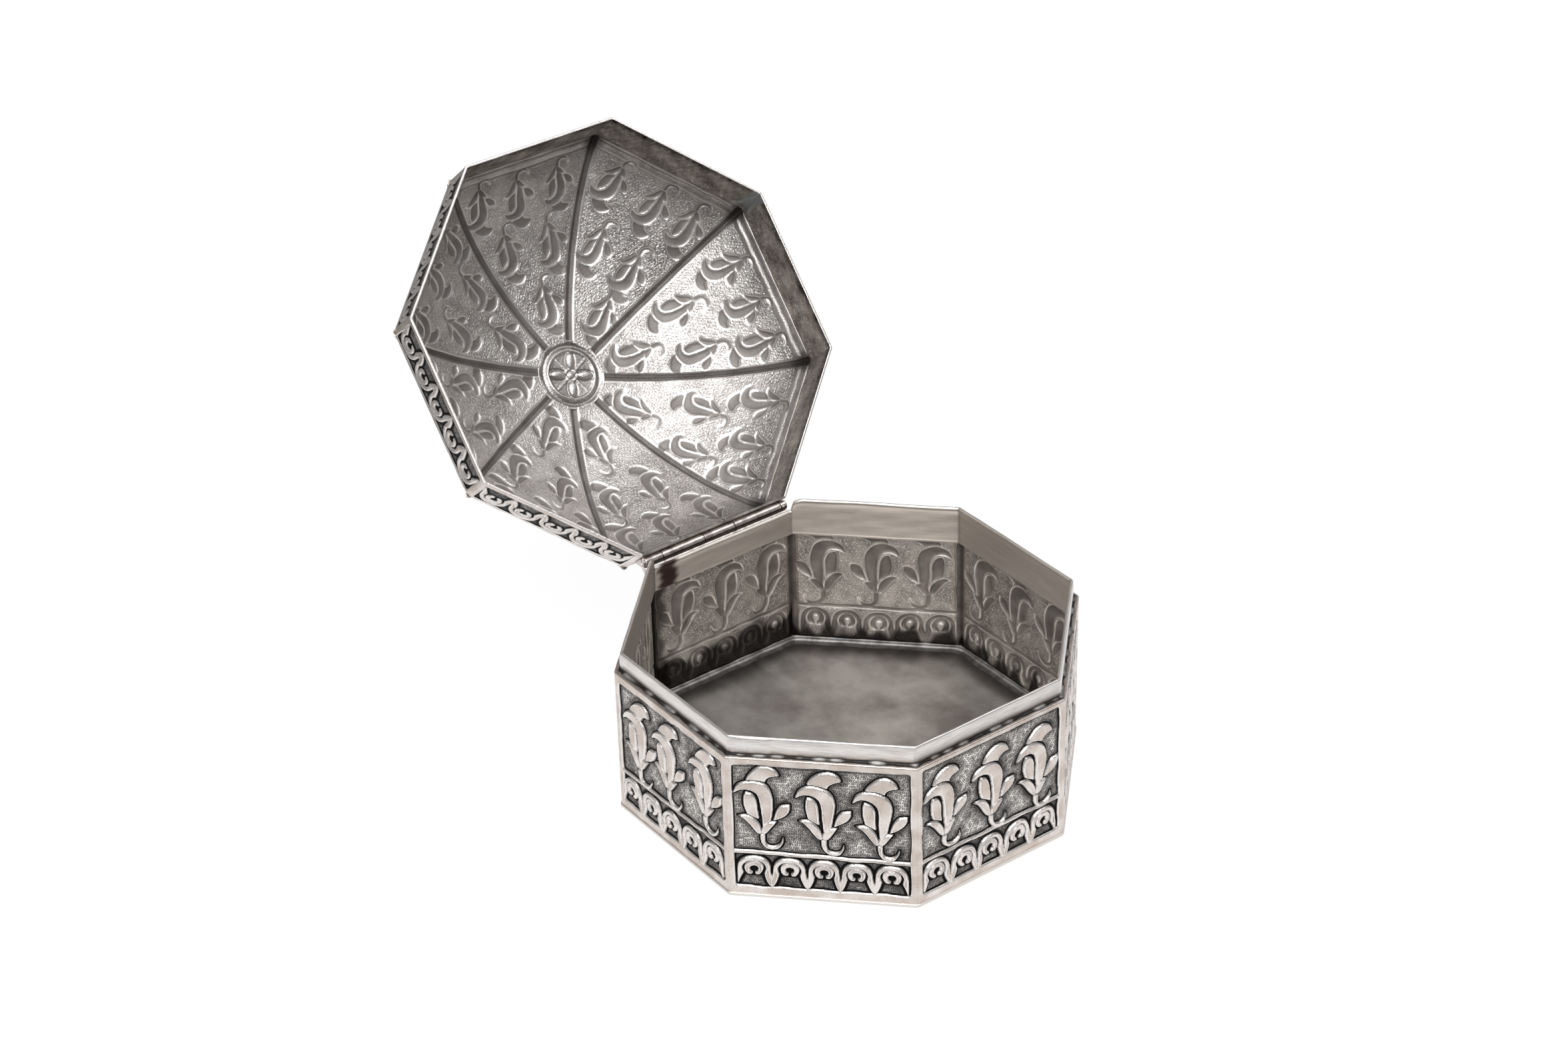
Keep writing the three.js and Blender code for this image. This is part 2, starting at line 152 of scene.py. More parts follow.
mixed = add_node(tree, "ShaderNodeMixShader", {0: seen.outputs[0], 1: paper.outputs[0],
                                               2: white.outputs[0]})
add_node(tree, "ShaderNodeOutputMaterial", {"Surface": mixed.outputs[0]})
floor_mesh.materials.append(sweep)

world = bpy.data.worlds.new("studio")
bpy.context.scene.world = world
world.use_nodes = True
tree = world.node_tree
tree.nodes.clear()
rays = add_node(tree, "ShaderNodeLightPath")
direction = add_node(tree, "ShaderNodeTexCoord").outputs["Generated"]
bright_side = add_node(tree, "ShaderNodeVectorMath", {0: direction, 1: from_direction(*BRIGHT_WALL)},
                       operation="DOT_PRODUCT")
card = add_node(tree, "ShaderNodeMapRange", {
    "Value": bright_side.outputs["Value"], "From Min": -0.9, "From Max": 0.9,
    "To Min": STUDIO_DARK, "To Max": STUDIO_BRIGHT})
camera_side = add_node(tree, "ShaderNodeVectorMath", {0: direction, 1: from_direction(*CAMERA_SIDE)},
                       operation="DOT_PRODUCT")
unlit = add_node(tree, "ShaderNodeMapRange", {
    "Value": camera_side.outputs["Value"], "From Min": 0.9, "From Max": 0.97,
    "To Min": 1.0, "To Max": CAMERA_SIDE_LEVEL})
card = add_node(tree, "ShaderNodeMath", {0: card.outputs[0], 1: unlit.outputs[0]}, operation="MULTIPLY")
level = add_node(tree, "ShaderNodeMapRange", {
    "Value": rays.outputs["Is Camera Ray"], "To Min": card.outputs[0], "To Max": 1.0})
air = add_node(tree, "ShaderNodeBackground", {"Strength": level.outputs[0]})
add_node(tree, "ShaderNodeOutputWorld", {"Surface": air.outputs[0]})

# Lamps
# Three soft boxes: a broad key high at the camera's left, which the near gores of the open lid
# mirror, and two weaker ones at the right, which the hinge and the far gores mirror.
LAMP_TARGET = np.array([0, 0.03, 0.06])


def soft_box(name, azimuth, elevation, distance, size, watts):
    """A square soft box that faces the object."""
    data = bpy.data.lights.new(name, "AREA")
    data.shape, data.size, data.energy = "SQUARE", size, watts
    lamp = bpy.data.objects.new(name, data)
    bpy.context.scene.collection.objects.link(lamp)
    back = from_direction(azimuth, elevation)
    lamp.matrix_world = facing(LAMP_TARGET + distance * back, back)


soft_box("key_box", -42, 60, 1.1, 1.1, 14)
soft_box("top_box", 62, 60, 1.2, 0.7, 2.2)
soft_box("side_box", 95, 35, 1.3, 0.5, 1.5)


# Base plate
# An octagonal plate of 1 mm silver sheet, hammered flat by hand, so that its top is slightly
# wavy inside the wall, with painted shade along the wall's foot. The wall is soldered on it, and
# its filed edge stands a little proud of the wall.
SIDES = 8
HALF_SIDE_ANGLE = math.pi / SIDES
PLATE_LOW, PLATE_HIGH = (np.array(corner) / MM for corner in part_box("base_plate"))
PLATE_REACH = PLATE_HIGH[0]
PLATE_TOP = PLATE_HIGH[2]
PLATE_EDGE_ROUND = 0.3
PLATE_CORNER_RADIUS = 1.6
PLATE_INSIDE_REACH = 57.0
PLATE_WALL_FOOT = 58.0
PLATE_WAVE = 0.05
PLATE_WAVE_LENGTH = 24
PLATE_LEVEL_WIDTH = 6.0
# Painted shade on the plate's top: where it starts and ends towards the wall's foot, and how dark it gets.
PLATE_SHADE_START, PLATE_SHADE_END, PLATE_SHADE_SHARE = 50.0, 56.5, 0.75
PLATE_COLOUR = "#BFBCB9"
PLATE_STAIN = "#928D8A"
# Colour of the painted shade along the wall's foot.
PLATE_SHADE = "#3A3331"
PLATE_EDGE_COLOUR = "#EAE4DF"


def rounded_side(along, reach, radius):
    """Where a point lies on one side of an octagon with rounded corners, in that side's own
    directions. along is measured from the side's middle, first on the straight part and then
    on the arc at the corner. Returns the place across and out, and the outward normal."""
    straight = (reach - radius) * math.tan(HALF_SIDE_ANGLE)
    turn = np.clip(np.abs(along) - straight, 0, None) / np.maximum(radius, 1e-9)
    turn = np.minimum(turn, HALF_SIDE_ANGLE)
    sign = np.sign(along)
    across = sign * (np.minimum(np.abs(along), straight) + radius * np.sin(turn))
    return across, reach - radius + radius * np.cos(turn), sign * np.sin(turn), np.cos(turn)


def half_length(reach, radius):
    """Half of one side of the rounded octagon, from its middle to the middle of the corner's arc."""
    return (reach - radius) * math.tan(HALF_SIDE_ANGLE) + radius * HALF_SIDE_ANGLE


def turned_to(side, across, out, height):
    """Points in millimetres from places across and out of a side. Side 0 faces -Y, and the
    numbers run anticlockwise from above."""
    angle = -math.pi / 2 + np.asarray(side) * 2 * HALF_SIDE_ANGLE
    x = out * np.cos(angle) - across * np.sin(angle)
    y = out * np.sin(angle) + across * np.cos(angle)
    return np.stack(np.broadcast_arrays(x, y, height), -1)


def on_side(side, along, proud, height, reach, radius):
    """Points of a rounded octagon: proud is the distance out from its outline."""
    across, out, normal_across, normal_out = rounded_side(along, reach, radius)
    return turned_to(side, across + proud * normal_across, out + proud * normal_out, height)


def all_round(per_side, corner_share=0.0):
    """Columns once round the octagon, as side numbers and as shares of half a side from -1 to 1.
    A corner_share above 0 draws the columns towards the corners."""
    share = np.arange(per_side) / per_side * 2 - 1
    share = share + corner_share * np.sin(np.pi * share) / np.pi
    return np.repeat(np.arange(SIDES), per_side), np.tile(share, SIDES)


def grid_faces(rows, columns, ring=False, tube=False):
    """Quads of a grid of points numbered row by row. ring joins the last column to the first
    and tube the last row to the first."""
    i = np.arange(rows if tube else rows - 1)[:, None]
    j = np.arange(columns if ring else columns - 1)[None, :]
    above, right = (i + 1) % rows, (j + 1) % columns
    quads = [i * columns + j, i * columns + right, above * columns + right, above * columns + j]
    return np.stack(np.broadcast_arrays(*quads), -1).reshape(-1, 4)


def fan(middle, rim):
    """Triangles from one middle point to a closed rim of points."""
    rim = np.asarray(rim)
    return np.stack([np.full(len(rim), middle), rim, np.roll(rim, -1)], -1)


def add_piece(name, points, smooth, flat=(), **paint):
    """A mesh object of points in millimetres. smooth and flat are lists of arrays with one face
    per row, and paint gives float attributes, one value per point."""
    groups = [np.atleast_2d(faces) for faces in (*smooth, *flat)]
    corners = np.concatenate([np.full(len(faces), faces.shape[1]) for faces in groups])
    loops = np.concatenate([faces.ravel() for faces in groups])
    is_smooth = np.zeros(len(corners), bool)
    is_smooth[:sum(len(np.atleast_2d(faces)) for faces in smooth)] = True
    mesh = bpy.data.meshes.new(name)
    mesh.vertices.add(len(points))
    mesh.vertices.foreach_set("co", (np.asarray(points) * MM).astype(np.float32).ravel())
    mesh.loops.add(len(loops))
    mesh.loops.foreach_set("vertex_index", loops.astype(np.int32))
    mesh.polygons.add(len(corners))
    mesh.polygons.foreach_set("loop_start", (np.cumsum(corners) - corners).astype(np.int32))
    mesh.polygons.foreach_set("use_smooth", is_smooth)
    for title, values in paint.items():
        layer = mesh.attributes.new(title, "FLOAT", "POINT")
        layer.data.foreach_set("value", np.asarray(values).astype(np.float32).ravel())
    mesh.update(calc_edges=True)
    mesh.validate()
    made = bpy.data.objects.new(name, mesh)
    bpy.context.scene.collection.objects.link(made)
    return made


def wander(x, z, seed, amount, length):
    """A slow uneven wave of the hand: four sine waves across seeded directions, with wavelengths
    round the given length."""
    rng = np.random.default_rng(seed)
    total = 0
    for angle, phase, stretch in rng.uniform((0, 0, 0.7), (2 * math.pi, 2 * math.pi, 1.5), (4, 3)):
        run = x * math.cos(angle) + z * math.sin(angle)
        total = total + np.sin(2 * math.pi * run / (length * stretch) + phase)
    return amount * total / 2


def smooth_step(start, end, x):
    """0 before start and 1 after end, with a soft turn between them."""
    s = np.clip((x - start) / (end - start), 0, 1)
    return s * s * (3 - 2 * s)


def finish(title):
    """An empty metal: its node tree, and its Principled shader with metallic at 1."""
    made = bpy.data.materials.new(title)
    made.use_nodes = True
    shader = made.node_tree.nodes["Principled BSDF"]
    shader.inputs["Metallic"].default_value = 1.0
    return made, made.node_tree, shader


def per_mm(size):
    """Scale of a noise on object coordinates whose grain is that many millimetres."""
    return 1 / (size * MM)


# Dull silver plate, hammered and tarnished: a satin grey with brown clouds and faint streaks.
tarnished_silver, tree, shader = finish("tarnished_silver_plate")
place = add_node(tree, "ShaderNodeTexCoord").outputs["Object"]
cloud = add_node(tree, "ShaderNodeTexNoise", {"Vector": place, "Scale": per_mm(22), "Detail": 5.0,
                                              "Roughness": 0.6})
streak_map = add_node(tree, "ShaderNodeMapping", {"Vector": place, "Rotation": (0, 0, 0.6),
                                                  "Scale": (1, 0.12, 1)})
streak = add_node(tree, "ShaderNodeTexNoise", {"Vector": streak_map.outputs[0], "Scale": per_mm(3.5),
                                               "Detail": 3.0})
stain = add_node(tree, "ShaderNodeMapRange", {"Value": cloud.outputs[0], "From Min": 0.4, "From Max": 0.62})
plate_tone = add_node(tree, "ShaderNodeMix", {0: stain.outputs[0], 6: linear(PLATE_COLOUR),
                                              7: linear(PLATE_STAIN)}, data_type="RGBA")
# Painted shade along the wall's foot, from a painted attribute.
soot_part = add_node(tree, "ShaderNodeAttribute", attribute_name="soot").outputs["Fac"]
plate_tone = add_node(tree, "ShaderNodeMix", {0: soot_part, 6: plate_tone.outputs[2],
                                              7: linear(PLATE_SHADE)}, data_type="RGBA")
edge_part = add_node(tree, "ShaderNodeAttribute", attribute_name="edge").outputs["Fac"]
plate_tone = add_node(tree, "ShaderNodeMix", {0: edge_part, 6: plate_tone.outputs[2],
                                              7: linear(PLATE_EDGE_COLOUR)}, data_type="RGBA")
tree.links.new(plate_tone.outputs[2], shader.inputs["Base Color"])
rough = add_node(tree, "ShaderNodeMapRange", {"Value": streak.outputs[0], "To Min": 0.34, "To Max": 0.6})
rough = add_node(tree, "ShaderNodeMix", {0: edge_part, 2: rough.outputs[0], 3: 0.45}, data_type="FLOAT")
tree.links.new(rough.outputs[0], shader.inputs["Roughness"])
grain = add_node(tree, "ShaderNodeTexNoise", {"Vector": place, "Scale": per_mm(1.1), "Detail": 4.0})
dents = add_node(tree, "ShaderNodeBump", {"Height": grain.outputs[0], "Strength": 0.2,
                                          "Distance": 0.12 * MM})
tree.links.new(dents.outputs[0], shader.inputs["Normal"])

side, share = all_round(40, 0.55)
edge = PLATE_EDGE_ROUND
bend = np.linspace(0, math.pi / 2, 5)
top_reach = np.concatenate([np.linspace(1, PLATE_INSIDE_REACH, 46),
                            np.linspace(PLATE_INSIDE_REACH + 0.6, PLATE_REACH - edge, 6)])
edge_reach = PLATE_REACH - edge + edge * np.sin(bend[1:])
edge_z = PLATE_TOP - edge + edge * np.cos(bend[1:])
reaches = np.concatenate([top_reach, edge_reach, edge_reach[::-1], top_reach[::-6]])
heights = np.concatenate([np.full(len(top_reach), PLATE_TOP), edge_z, PLATE_TOP - edge_z[::-1],
                          np.zeros(len(top_reach[::-6]))])
radii = np.minimum(PLATE_CORNER_RADIUS, reaches * 0.5)[:, None]
along = share[None, :] * half_length(reaches[:, None], radii)
across, out, _, _ = rounded_side(along, reaches[:, None], radii)
points = turned_to(side[None, :], across, out, heights[:, None])
top_rows = len(top_reach) - 4
wave = wander(points[:top_rows, :, 0], points[:top_rows, :, 1], 3, PLATE_WAVE, PLATE_WAVE_LENGTH)
calm = np.clip((PLATE_WALL_FOOT - top_reach[:top_rows]) / PLATE_LEVEL_WIDTH, 0, 1)[:, None]
points[:top_rows, :, 2] += wave * calm
rows, columns = points.shape[:2]
on_edge = np.concatenate([np.repeat(reaches > PLATE_REACH - 0.8, columns), [0, 0]])
# Painted shade: the top darkens towards the wall's foot, where the wall shades it, from an uneven start.
soot_start = PLATE_SHADE_START + wander(points[..., 0], points[..., 1], 4, 1.2, 16)
in_soot = PLATE_SHADE_SHARE * smooth_step(soot_start, PLATE_SHADE_END, reaches[:, None])
in_soot = in_soot * (reaches < PLATE_WALL_FOOT)[:, None] * (heights > PLATE_TOP / 2)[:, None]
points = np.concatenate([points.reshape(-1, 3), [[0, 0, points[0, :, 2].mean()], [0, 0, 0]]])
faces = grid_faces(rows, columns, ring=True)[:, ::-1]
middle_top, middle_bottom = rows * columns, rows * columns + 1
top_fan = fan(middle_top, np.arange(columns))
bottom_fan = fan(middle_bottom, np.arange((rows - 1) * columns, rows * columns)[::-1])
base_plate = add_piece("base_sheet", points, [faces, top_fan, bottom_fan], edge=on_edge,
                       soot=np.concatenate([in_soot.ravel(), [0, 0]]))
base_plate.data.materials.append(tarnished_silver)
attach(base_plate, "box_body")
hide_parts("base_plate")

# Wall
# One strip of silver sheet folded into eight sides and soldered. Each side is chased from the
# front and back: three mango flowers over a border of scallops, on a ground of ring punch marks.
WALL_LOW, WALL_HIGH = (np.array(corner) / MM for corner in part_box("body_wall"))
WALL_FACE = WALL_HIGH[0]
WALL_BOTTOM, WALL_TOP = WALL_LOW[2], WALL_HIGH[2]
WALL_CORNER_RADIUS = 1.5
WALL_STEP = 0.225
SHEET_THICKNESS = 0.7
WALL_INSIDE = 1.33
BEZEL_FOOT = 38.2
SOLDER_FILM = 0.04
BACK_SIDE = 4
EDGE_ROUND = 0.3
FIELD_LEFT, FIELD_RIGHT = -23.2, 23.0
FIELD_CORNER = 0.9
RULE_HALF_WIDTH = 0.5
FRIEZE_BOTTOM = 3.3
GROUND_DEPTH = 0.55
GROOVE_DEPTH = 0.28
GROOVE_WIDTH = 0.5
FLANK_OUT, FLANK_IN = 0.18, -0.14
FRAME_NARROWING = 1.5
PETAL_PROUD = 0.1
PETAL_CROWN = 0.07
PUNCH_PITCH = 1.0
PUNCH_RING_RADIUS = 0.3
PUNCH_RING_WIDTH = 0.13
PUNCH_DEPTH = 0.06
PUNCH_STRAY = 0.16
NO_PUNCH = 1.0
BARE_WIDTH = (0.75, 0.35)
FAR_AWAY = 9.0

# Where each side's flowers stand and its scallops' eyes lie, from the side's middle and the
# floor. The three sides in the photograph have their own places, the rest stand near the mean.
FIELD_TOPS = {7: 42.3, 0: 43.0, 6: 41.8}
RULES = {7: (14.5, 13.7), 0: (13.8, 13.6), 6: (13.3, 14.0)}
FLOWER_FEET = {
    7: ((-15.8, 20.7), (0, 20), (14.6, 19.4)),
    0: ((-16.0, 19.8), (-0.3, 18.8), (14.9, 18.5)),
    6: ((-15.3, 18.3), (-1.9, 19.0), (14.6, 20.2)),
}
EYES = {
    7: ((-18.25, 9.4), (-8.65, 9.3), (0.3, 9.2), (8.8, 9.1), (18.0, 9.0)),
    0: ((-18.4, 9.0), (-9.0, 8.3), (-0.4, 8.3), (9.1, 8.3), (17.8, 8.7)),
    6: ((-19.2, 8.5), (-10.3, 8.0), (-1.0, 8.0), (8.0, 8.0), (17.7, 9.0)),
}
USUAL_FIELD_TOP = 42.3
USUAL_RULE = (13.9, 13.9)
USUAL_FEET = ((-15.7, 19.7), (-0.5, 19.4), (14.8, 19.5))
USUAL_EYES = ((-18.5, 9.0), (-9.2, 8.8), (-0.3, 8.7), (8.8, 8.7), (17.9, 8.9))

# Outlines of one flower in millimetres from its foot. Each is a list of strokes that meet at
# sharp points, and each stroke is a smooth curve through its points.
CREST = (((-3.5, 17.1), (-2.5, 18.9), (-0.4, 20.7), (2.2, 21.3), (4.3, 20.3), (5.2, 18.5)),
         ((5.2, 18.5), (3.4, 18.1), (2.1, 17.3), (1.6, 16.3)),
         ((1.6, 16.3), (0, 16.95), (-1.8, 17.15), (-3.5, 17.1)))
HOOK_PETAL = (((-6.8, 12.7), (-5.6, 15.2), (-3.0, 16.5), (0, 16.3), (2.3, 14.8), (3.35, 12), (3.3, 9),
               (2.9, 6.5), (2.5, 4.0)),
              ((2.5, 4.0), (0.35, 2.3)),
              ((0.35, 2.3), (0.15, 6), (-0.1, 10), (-0.8, 12.4), (-2.5, 13.7), (-4.6, 13.8), (-6.8, 12.7)))
ALMOND = (((-3.7, 13.0), (-2.0, 12.3), (-1.05, 10.2), (-0.85, 7.5), (-0.6, 4.6)),
          ((-0.6, 4.6), (-2.3, 5.6), (-3.6, 6.4)),
          ((-3.6, 6.4), (-4.2, 9), (-4.15, 11.5), (-3.7, 13.0)))
LEFT_SEPAL = (((-6.0, 5.5), (-4.0, 5.8), (-2.0, 4.9), (-0.6, 2.9), (0, 0)),
              ((0, 0), (-1.0, 0), (-2.0, 1.2), (-3.3, 3.2), (-4.8, 4.9), (-6.0, 5.5)))
RIGHT_SEPAL = (((0, 0), (0.3, 2.0), (1.5, 3.3), (3.9, 3.6)),
               ((3.9, 3.6), (2.7, 1.8), (1.6, 0.3), (0.8, -0.15), (0, 0)))
LEAF = (((3.1, 4.1), (4.0, 7.0), (5.2, 8.9), (7.6, 9.4)),
        ((7.6, 9.4), (7.3, 7.3), (5.7, 5.5), (3.1, 4.1)))
STEM = (((-0.4, -0.3), (-0.1, -3.1), (1.6, -4.8), (4.2, -4.7), (5.4, -2.9), (5.5, -1.5)),
        ((5.5, -1.5), (4.8, -3.2), (3, -4.0), (1.1, -3.2), (0.85, -0.3)),
        ((0.85, -0.3), (-0.4, -0.3)))

# One scallop's half outline in millimetres from its eye: its inner edge from the top down, the
# foot where it meets the next scallop, and its outer edge back up. An end foot stands straight.
SCALLOP_HALF = 4.6
SCALLOP_INSIDE = ((0, 2.5), (1.2, 2.35), (2.25, 1.65), (2.95, 0.4), (3.05, -0.6), (2.7, -1.8))
SCALLOP_FOOT = (((2.7, -1.8), (2.85, -2.6), (3.25, -3.9), (3.8, -5.1)), ((3.8, -5.1), (4.9, -5.9)),
                ((4.9, -5.9), (4.9, -3.1)), ((4.9, -3.1), (4.55, -2.8), (4.3, -1.7), (4.17, -0.5)))
SCALLOP_END_FOOT = (((2.7, -1.8), (3.2, -2.9), (3.75, -4.2), (4.15, -5.3)), ((4.15, -5.3), (4.35, -5.2)),
                    ((4.35, -5.2), (4.3, -3.0), (4.17, -0.5)))
SCALLOP_OUTSIDE = ((4.17, -0.5), (4.0, 0.8), (3.4, 2.1), (2.4, 3.05), (1.2, 3.5), (0, 3.64))
CRESCENT_RADIUS = 2.4
CRESCENT_EYE_RADIUS = 1.15
CRESCENT_EYE_DROP = 0.2
CRESCENT_GAP_HALF = 0.4
CRESCENT_END = 1.9
EYE_SHADE_MARGIN = 0.3
GROOVE_FORM, EYE_FORM = 0.4, 0.3
FRIEZE_SHADE = 0.32

# Painted shade on the back of the wall: darker towards the floor, higher on the back side, and in the
# corners.
FLOOR_SHADE_HEIGHTS = (8.5, 3.5)
FLOOR_SHADE_SHARE = 0.92
BACK_SIDE_SHADE_RISE = 5.0
CORNER_SHADE_SHARE = 0.6
ENGRAVED_LINE_INSET = 0.52
CHASED_BRIGHT = "#F3EDE9"
CHASED_WARM = "#CABBB0"
CHASED_GROUND = "#F4EFEB"
OXIDE = "#1D1C1C"
DIRT = "#857C76"
# Colours of the back: a painted highlight, its tone and stain, grime on the lid's rim and painted shade
# elsewhere, painted shade in the petals' hollows, and tin.
INSIDE_HIGHLIGHT = "#FAF5EF"
INSIDE_TONE = "#CCC5BE"
INSIDE_STAIN = "#A09993"
INSIDE_GRIME_AND_SHADE = "#241F1D"
INSIDE_HOLLOW_SHADE = "#6E6864"
TINNED = "#A9AFB0"


def curve_through(points, steps=5):
    """A Catmull-Rom curve: between two points, the cubic whose slope at each is half the step
    from the point before to the point after. The last point is left to the next stroke."""
    p = np.asarray(points, float)
    p = np.vstack([2 * p[0] - p[1], p, 2 * p[-1] - p[-2]])
    t = (np.arange(steps) / steps)[None, :, None]
    a, b, c, d = p[:-3, None], p[1:-2, None], p[2:-1, None], p[3:, None]
    square, cube = 2 * a - 5 * b + 4 * c - d, 3 * b - a - 3 * c + d
    curve = b + t * (c - a) / 2 + t**2 * square / 2 + t**3 * cube / 2
    return curve.reshape(-1, 2)


def outline_of(strokes):
    """The closed outline that a list of strokes draws."""
    return np.concatenate([curve_through(stroke) for stroke in strokes])


def outline_distance(x, z, outline, margin=2.0):
    """Millimetres from each point to a closed outline, negative inside it: the least distance to
    its straight segments, and inside where a level ray crosses it an odd number of times.
    Points further off than the margin get a fixed far distance."""
    low, high = outline.min(0) - margin, outline.max(0) + margin
    near = (x > low[0]) & (x < high[0]) & (z > low[1]) & (z < high[1])
    px, pz = x[near][:, None], z[near][:, None]
    (ax, az), (bx, bz) = outline.T, np.roll(outline, -1, axis=0).T
    ex, ez = bx - ax, bz - az
    share = np.clip(((px - ax) * ex + (pz - az) * ez) / (ex**2 + ez**2), 0, 1)
    distance = np.sqrt(((px - ax - share * ex) ** 2 + (pz - az - share * ez) ** 2).min(1))
    spans = (az > pz) != (bz > pz)
    crossing = ax + (pz - az) * ex / np.where(ez == 0, 1, ez)
    inside = (spans & (px < crossing)).sum(1) % 2 == 1
    result = np.full(x.shape, FAR_AWAY)
    result[near] = np.where(inside, -distance, distance)
    return result


FLOWER = [outline_of(strokes) for strokes in (CREST, HOOK_PETAL, ALMOND, LEFT_SEPAL, RIGHT_SEPAL, LEAF, STEM)]


def flower_distance(x, z, foot, size=1.0, lean=0.0):
    """Distance to the nearest petal of a flower that stands on its foot, leaning by an angle."""
    c, s = math.cos(lean), math.sin(lean)
    across = ((x - foot[0]) * c + (z - foot[1]) * s) / size
    up = ((z - foot[1]) * c - (x - foot[0]) * s) / size
    return size * np.minimum.reduce([outline_distance(across, up, petal) for petal in FLOWER])


def scallop_outline(left_foot, right_foot):
    """One scallop's closed outline: its right half, and its left half mirrored."""
    right = outline_of((SCALLOP_INSIDE, *right_foot, SCALLOP_OUTSIDE))
    left = outline_of((SCALLOP_INSIDE, *left_foot, SCALLOP_OUTSIDE)) * (-1, 1)
    return np.concatenate([right, left[:0:-1]])


def scallop_distance(x, z, eyes):
    """Distance to the nearest metal of a row of scallops: each is a wavy band over a crescent
    round a sunk eye. The width of each half follows the eyes' spacing."""
    eye_x, eye_z = np.array(eyes).T
    up = z - np.interp(x, eye_x, eye_z)
    middles = (eye_x[1:] + eye_x[:-1]) / 2
    edges = np.concatenate([[eye_x[0] - SCALLOP_HALF], middles, [eye_x[-1] + SCALLOP_HALF]])
    result = np.full(x.shape, FAR_AWAY)
    for i, middle in enumerate(eye_x):
        offset = x - middle
        width = np.where(offset < 0, middle - edges[i], edges[i + 1] - middle)
        left = SCALLOP_END_FOOT if i == 0 else SCALLOP_FOOT
        right = SCALLOP_END_FOOT if i == len(eye_x) - 1 else SCALLOP_FOOT
        band = outline_distance(offset / width * SCALLOP_HALF, up, scallop_outline(left, right))
        outside = np.hypot(offset, up) - CRESCENT_RADIUS
        eye = CRESCENT_EYE_RADIUS - np.hypot(offset, up + CRESCENT_EYE_DROP)
        gap = np.minimum(CRESCENT_GAP_HALF - np.abs(offset), -up)
        crescent = np.maximum.reduce([outside, eye, gap, -up - CRESCENT_END])
        result = np.minimum(result, np.minimum(band, crescent))
    return result


def to_eyes(x, z, eyes):
    """Distance to the nearest eye of a row of scallops."""
    return np.hypot(x[..., None] - eyes[:, 0], z[..., None] - eyes[:, 1]).min(-1)


def shaded(form, in_frieze, to_eye):
    """The form distance as the finish is to read it: the eyes are black, and the ground between
    scallops stays as dark as near a groove."""
    near_groove = np.minimum(form, GROOVE_FORM + (form - GROOVE_FORM) * FRIEZE_SHADE)
    form = np.where(in_frieze, near_groove, form)
    in_eye = to_eye < CRESCENT_EYE_RADIUS + EYE_SHADE_MARGIN
    return np.where(in_eye, np.minimum(form, EYE_FORM), form)


def punch_distance(x, z, seed):
    """Millimetres to the middle of the nearest ring punch mark. The marks stand in staggered
    rows, each moved a little from its place at random."""
    rng = np.random.default_rng(seed)
    row_height = PUNCH_PITCH * math.sqrt(3) / 2
    row = np.round(z / row_height).astype(int)
    first_row, first_column = row.min() - 1, int(x.min() / PUNCH_PITCH) - 3
    rows_needed = row.max() - row.min() + 3
    columns_needed = int((x.max() - x.min()) / PUNCH_PITCH) + 7
    shifts = rng.uniform(-PUNCH_STRAY, PUNCH_STRAY, (rows_needed, columns_needed, 2)) * PUNCH_PITCH
    nearest = np.full(x.shape, FAR_AWAY)
    for row_step in (-1, 0, 1):
        r = row + row_step
        stagger = (r % 2) * PUNCH_PITCH / 2
        column = np.floor((x - stagger) / PUNCH_PITCH).astype(int)
        for column_step in (0, 1):
            c = column + column_step
            shift = shifts[r - first_row, c - first_column]
            mark_x = c * PUNCH_PITCH + stagger + shift[..., 0]
            mark_z = r * row_height + shift[..., 1]
            nearest = np.minimum(nearest, np.hypot(x - mark_x, z - mark_z))
    return nearest


def soften(height, passes):
    """Blurs a grid of heights: each pass gives every point a half of itself and a quarter of
    each neighbour, first along the rows and then along the columns."""
    for _ in range(passes):
        for axis in (0, 1):
            padded = np.pad(height, [(1, 1) if a == axis else (0, 0) for a in (0, 1)], mode="edge")
            before, after = np.delete(padded, (-1, -2), axis), np.delete(padded, (0, 1), axis)
            height = height / 2 + (before + after) / 4
    return height


def chased_height(form, ring, ground, groove, proud, crown):
    """Height of chased work from the distance to the nearest raised form: a steep flank up to a
    gently crowned top inside, and outside a groove that fades into the punched ground."""
    rise = smooth_step(FLANK_OUT, FLANK_IN, form)
    top = proud + crown * smooth_step(0, -1.5, form)
    low = -ground - groove * np.exp(-(np.clip(form, 0, None) / GROOVE_WIDTH) ** 2)
    low = low - PUNCH_DEPTH * np.exp(-(((ring - PUNCH_RING_RADIUS) / PUNCH_RING_WIDTH) ** 2))
    return low + (top - low) * rise


def box_distance(x, z, left, right, bottom, top, corner):
    """Distance to a rectangle with rounded corners, negative inside."""
    dx = np.abs(x - (left + right) / 2) - (right - left) / 2 + corner
    dz = np.abs(z - (bottom + top) / 2) - (top - bottom) / 2 + corner
    outside = np.hypot(np.clip(dx, 0, None), np.clip(dz, 0, None))
    return outside + np.minimum(np.maximum(dx, dz), 0) - corner


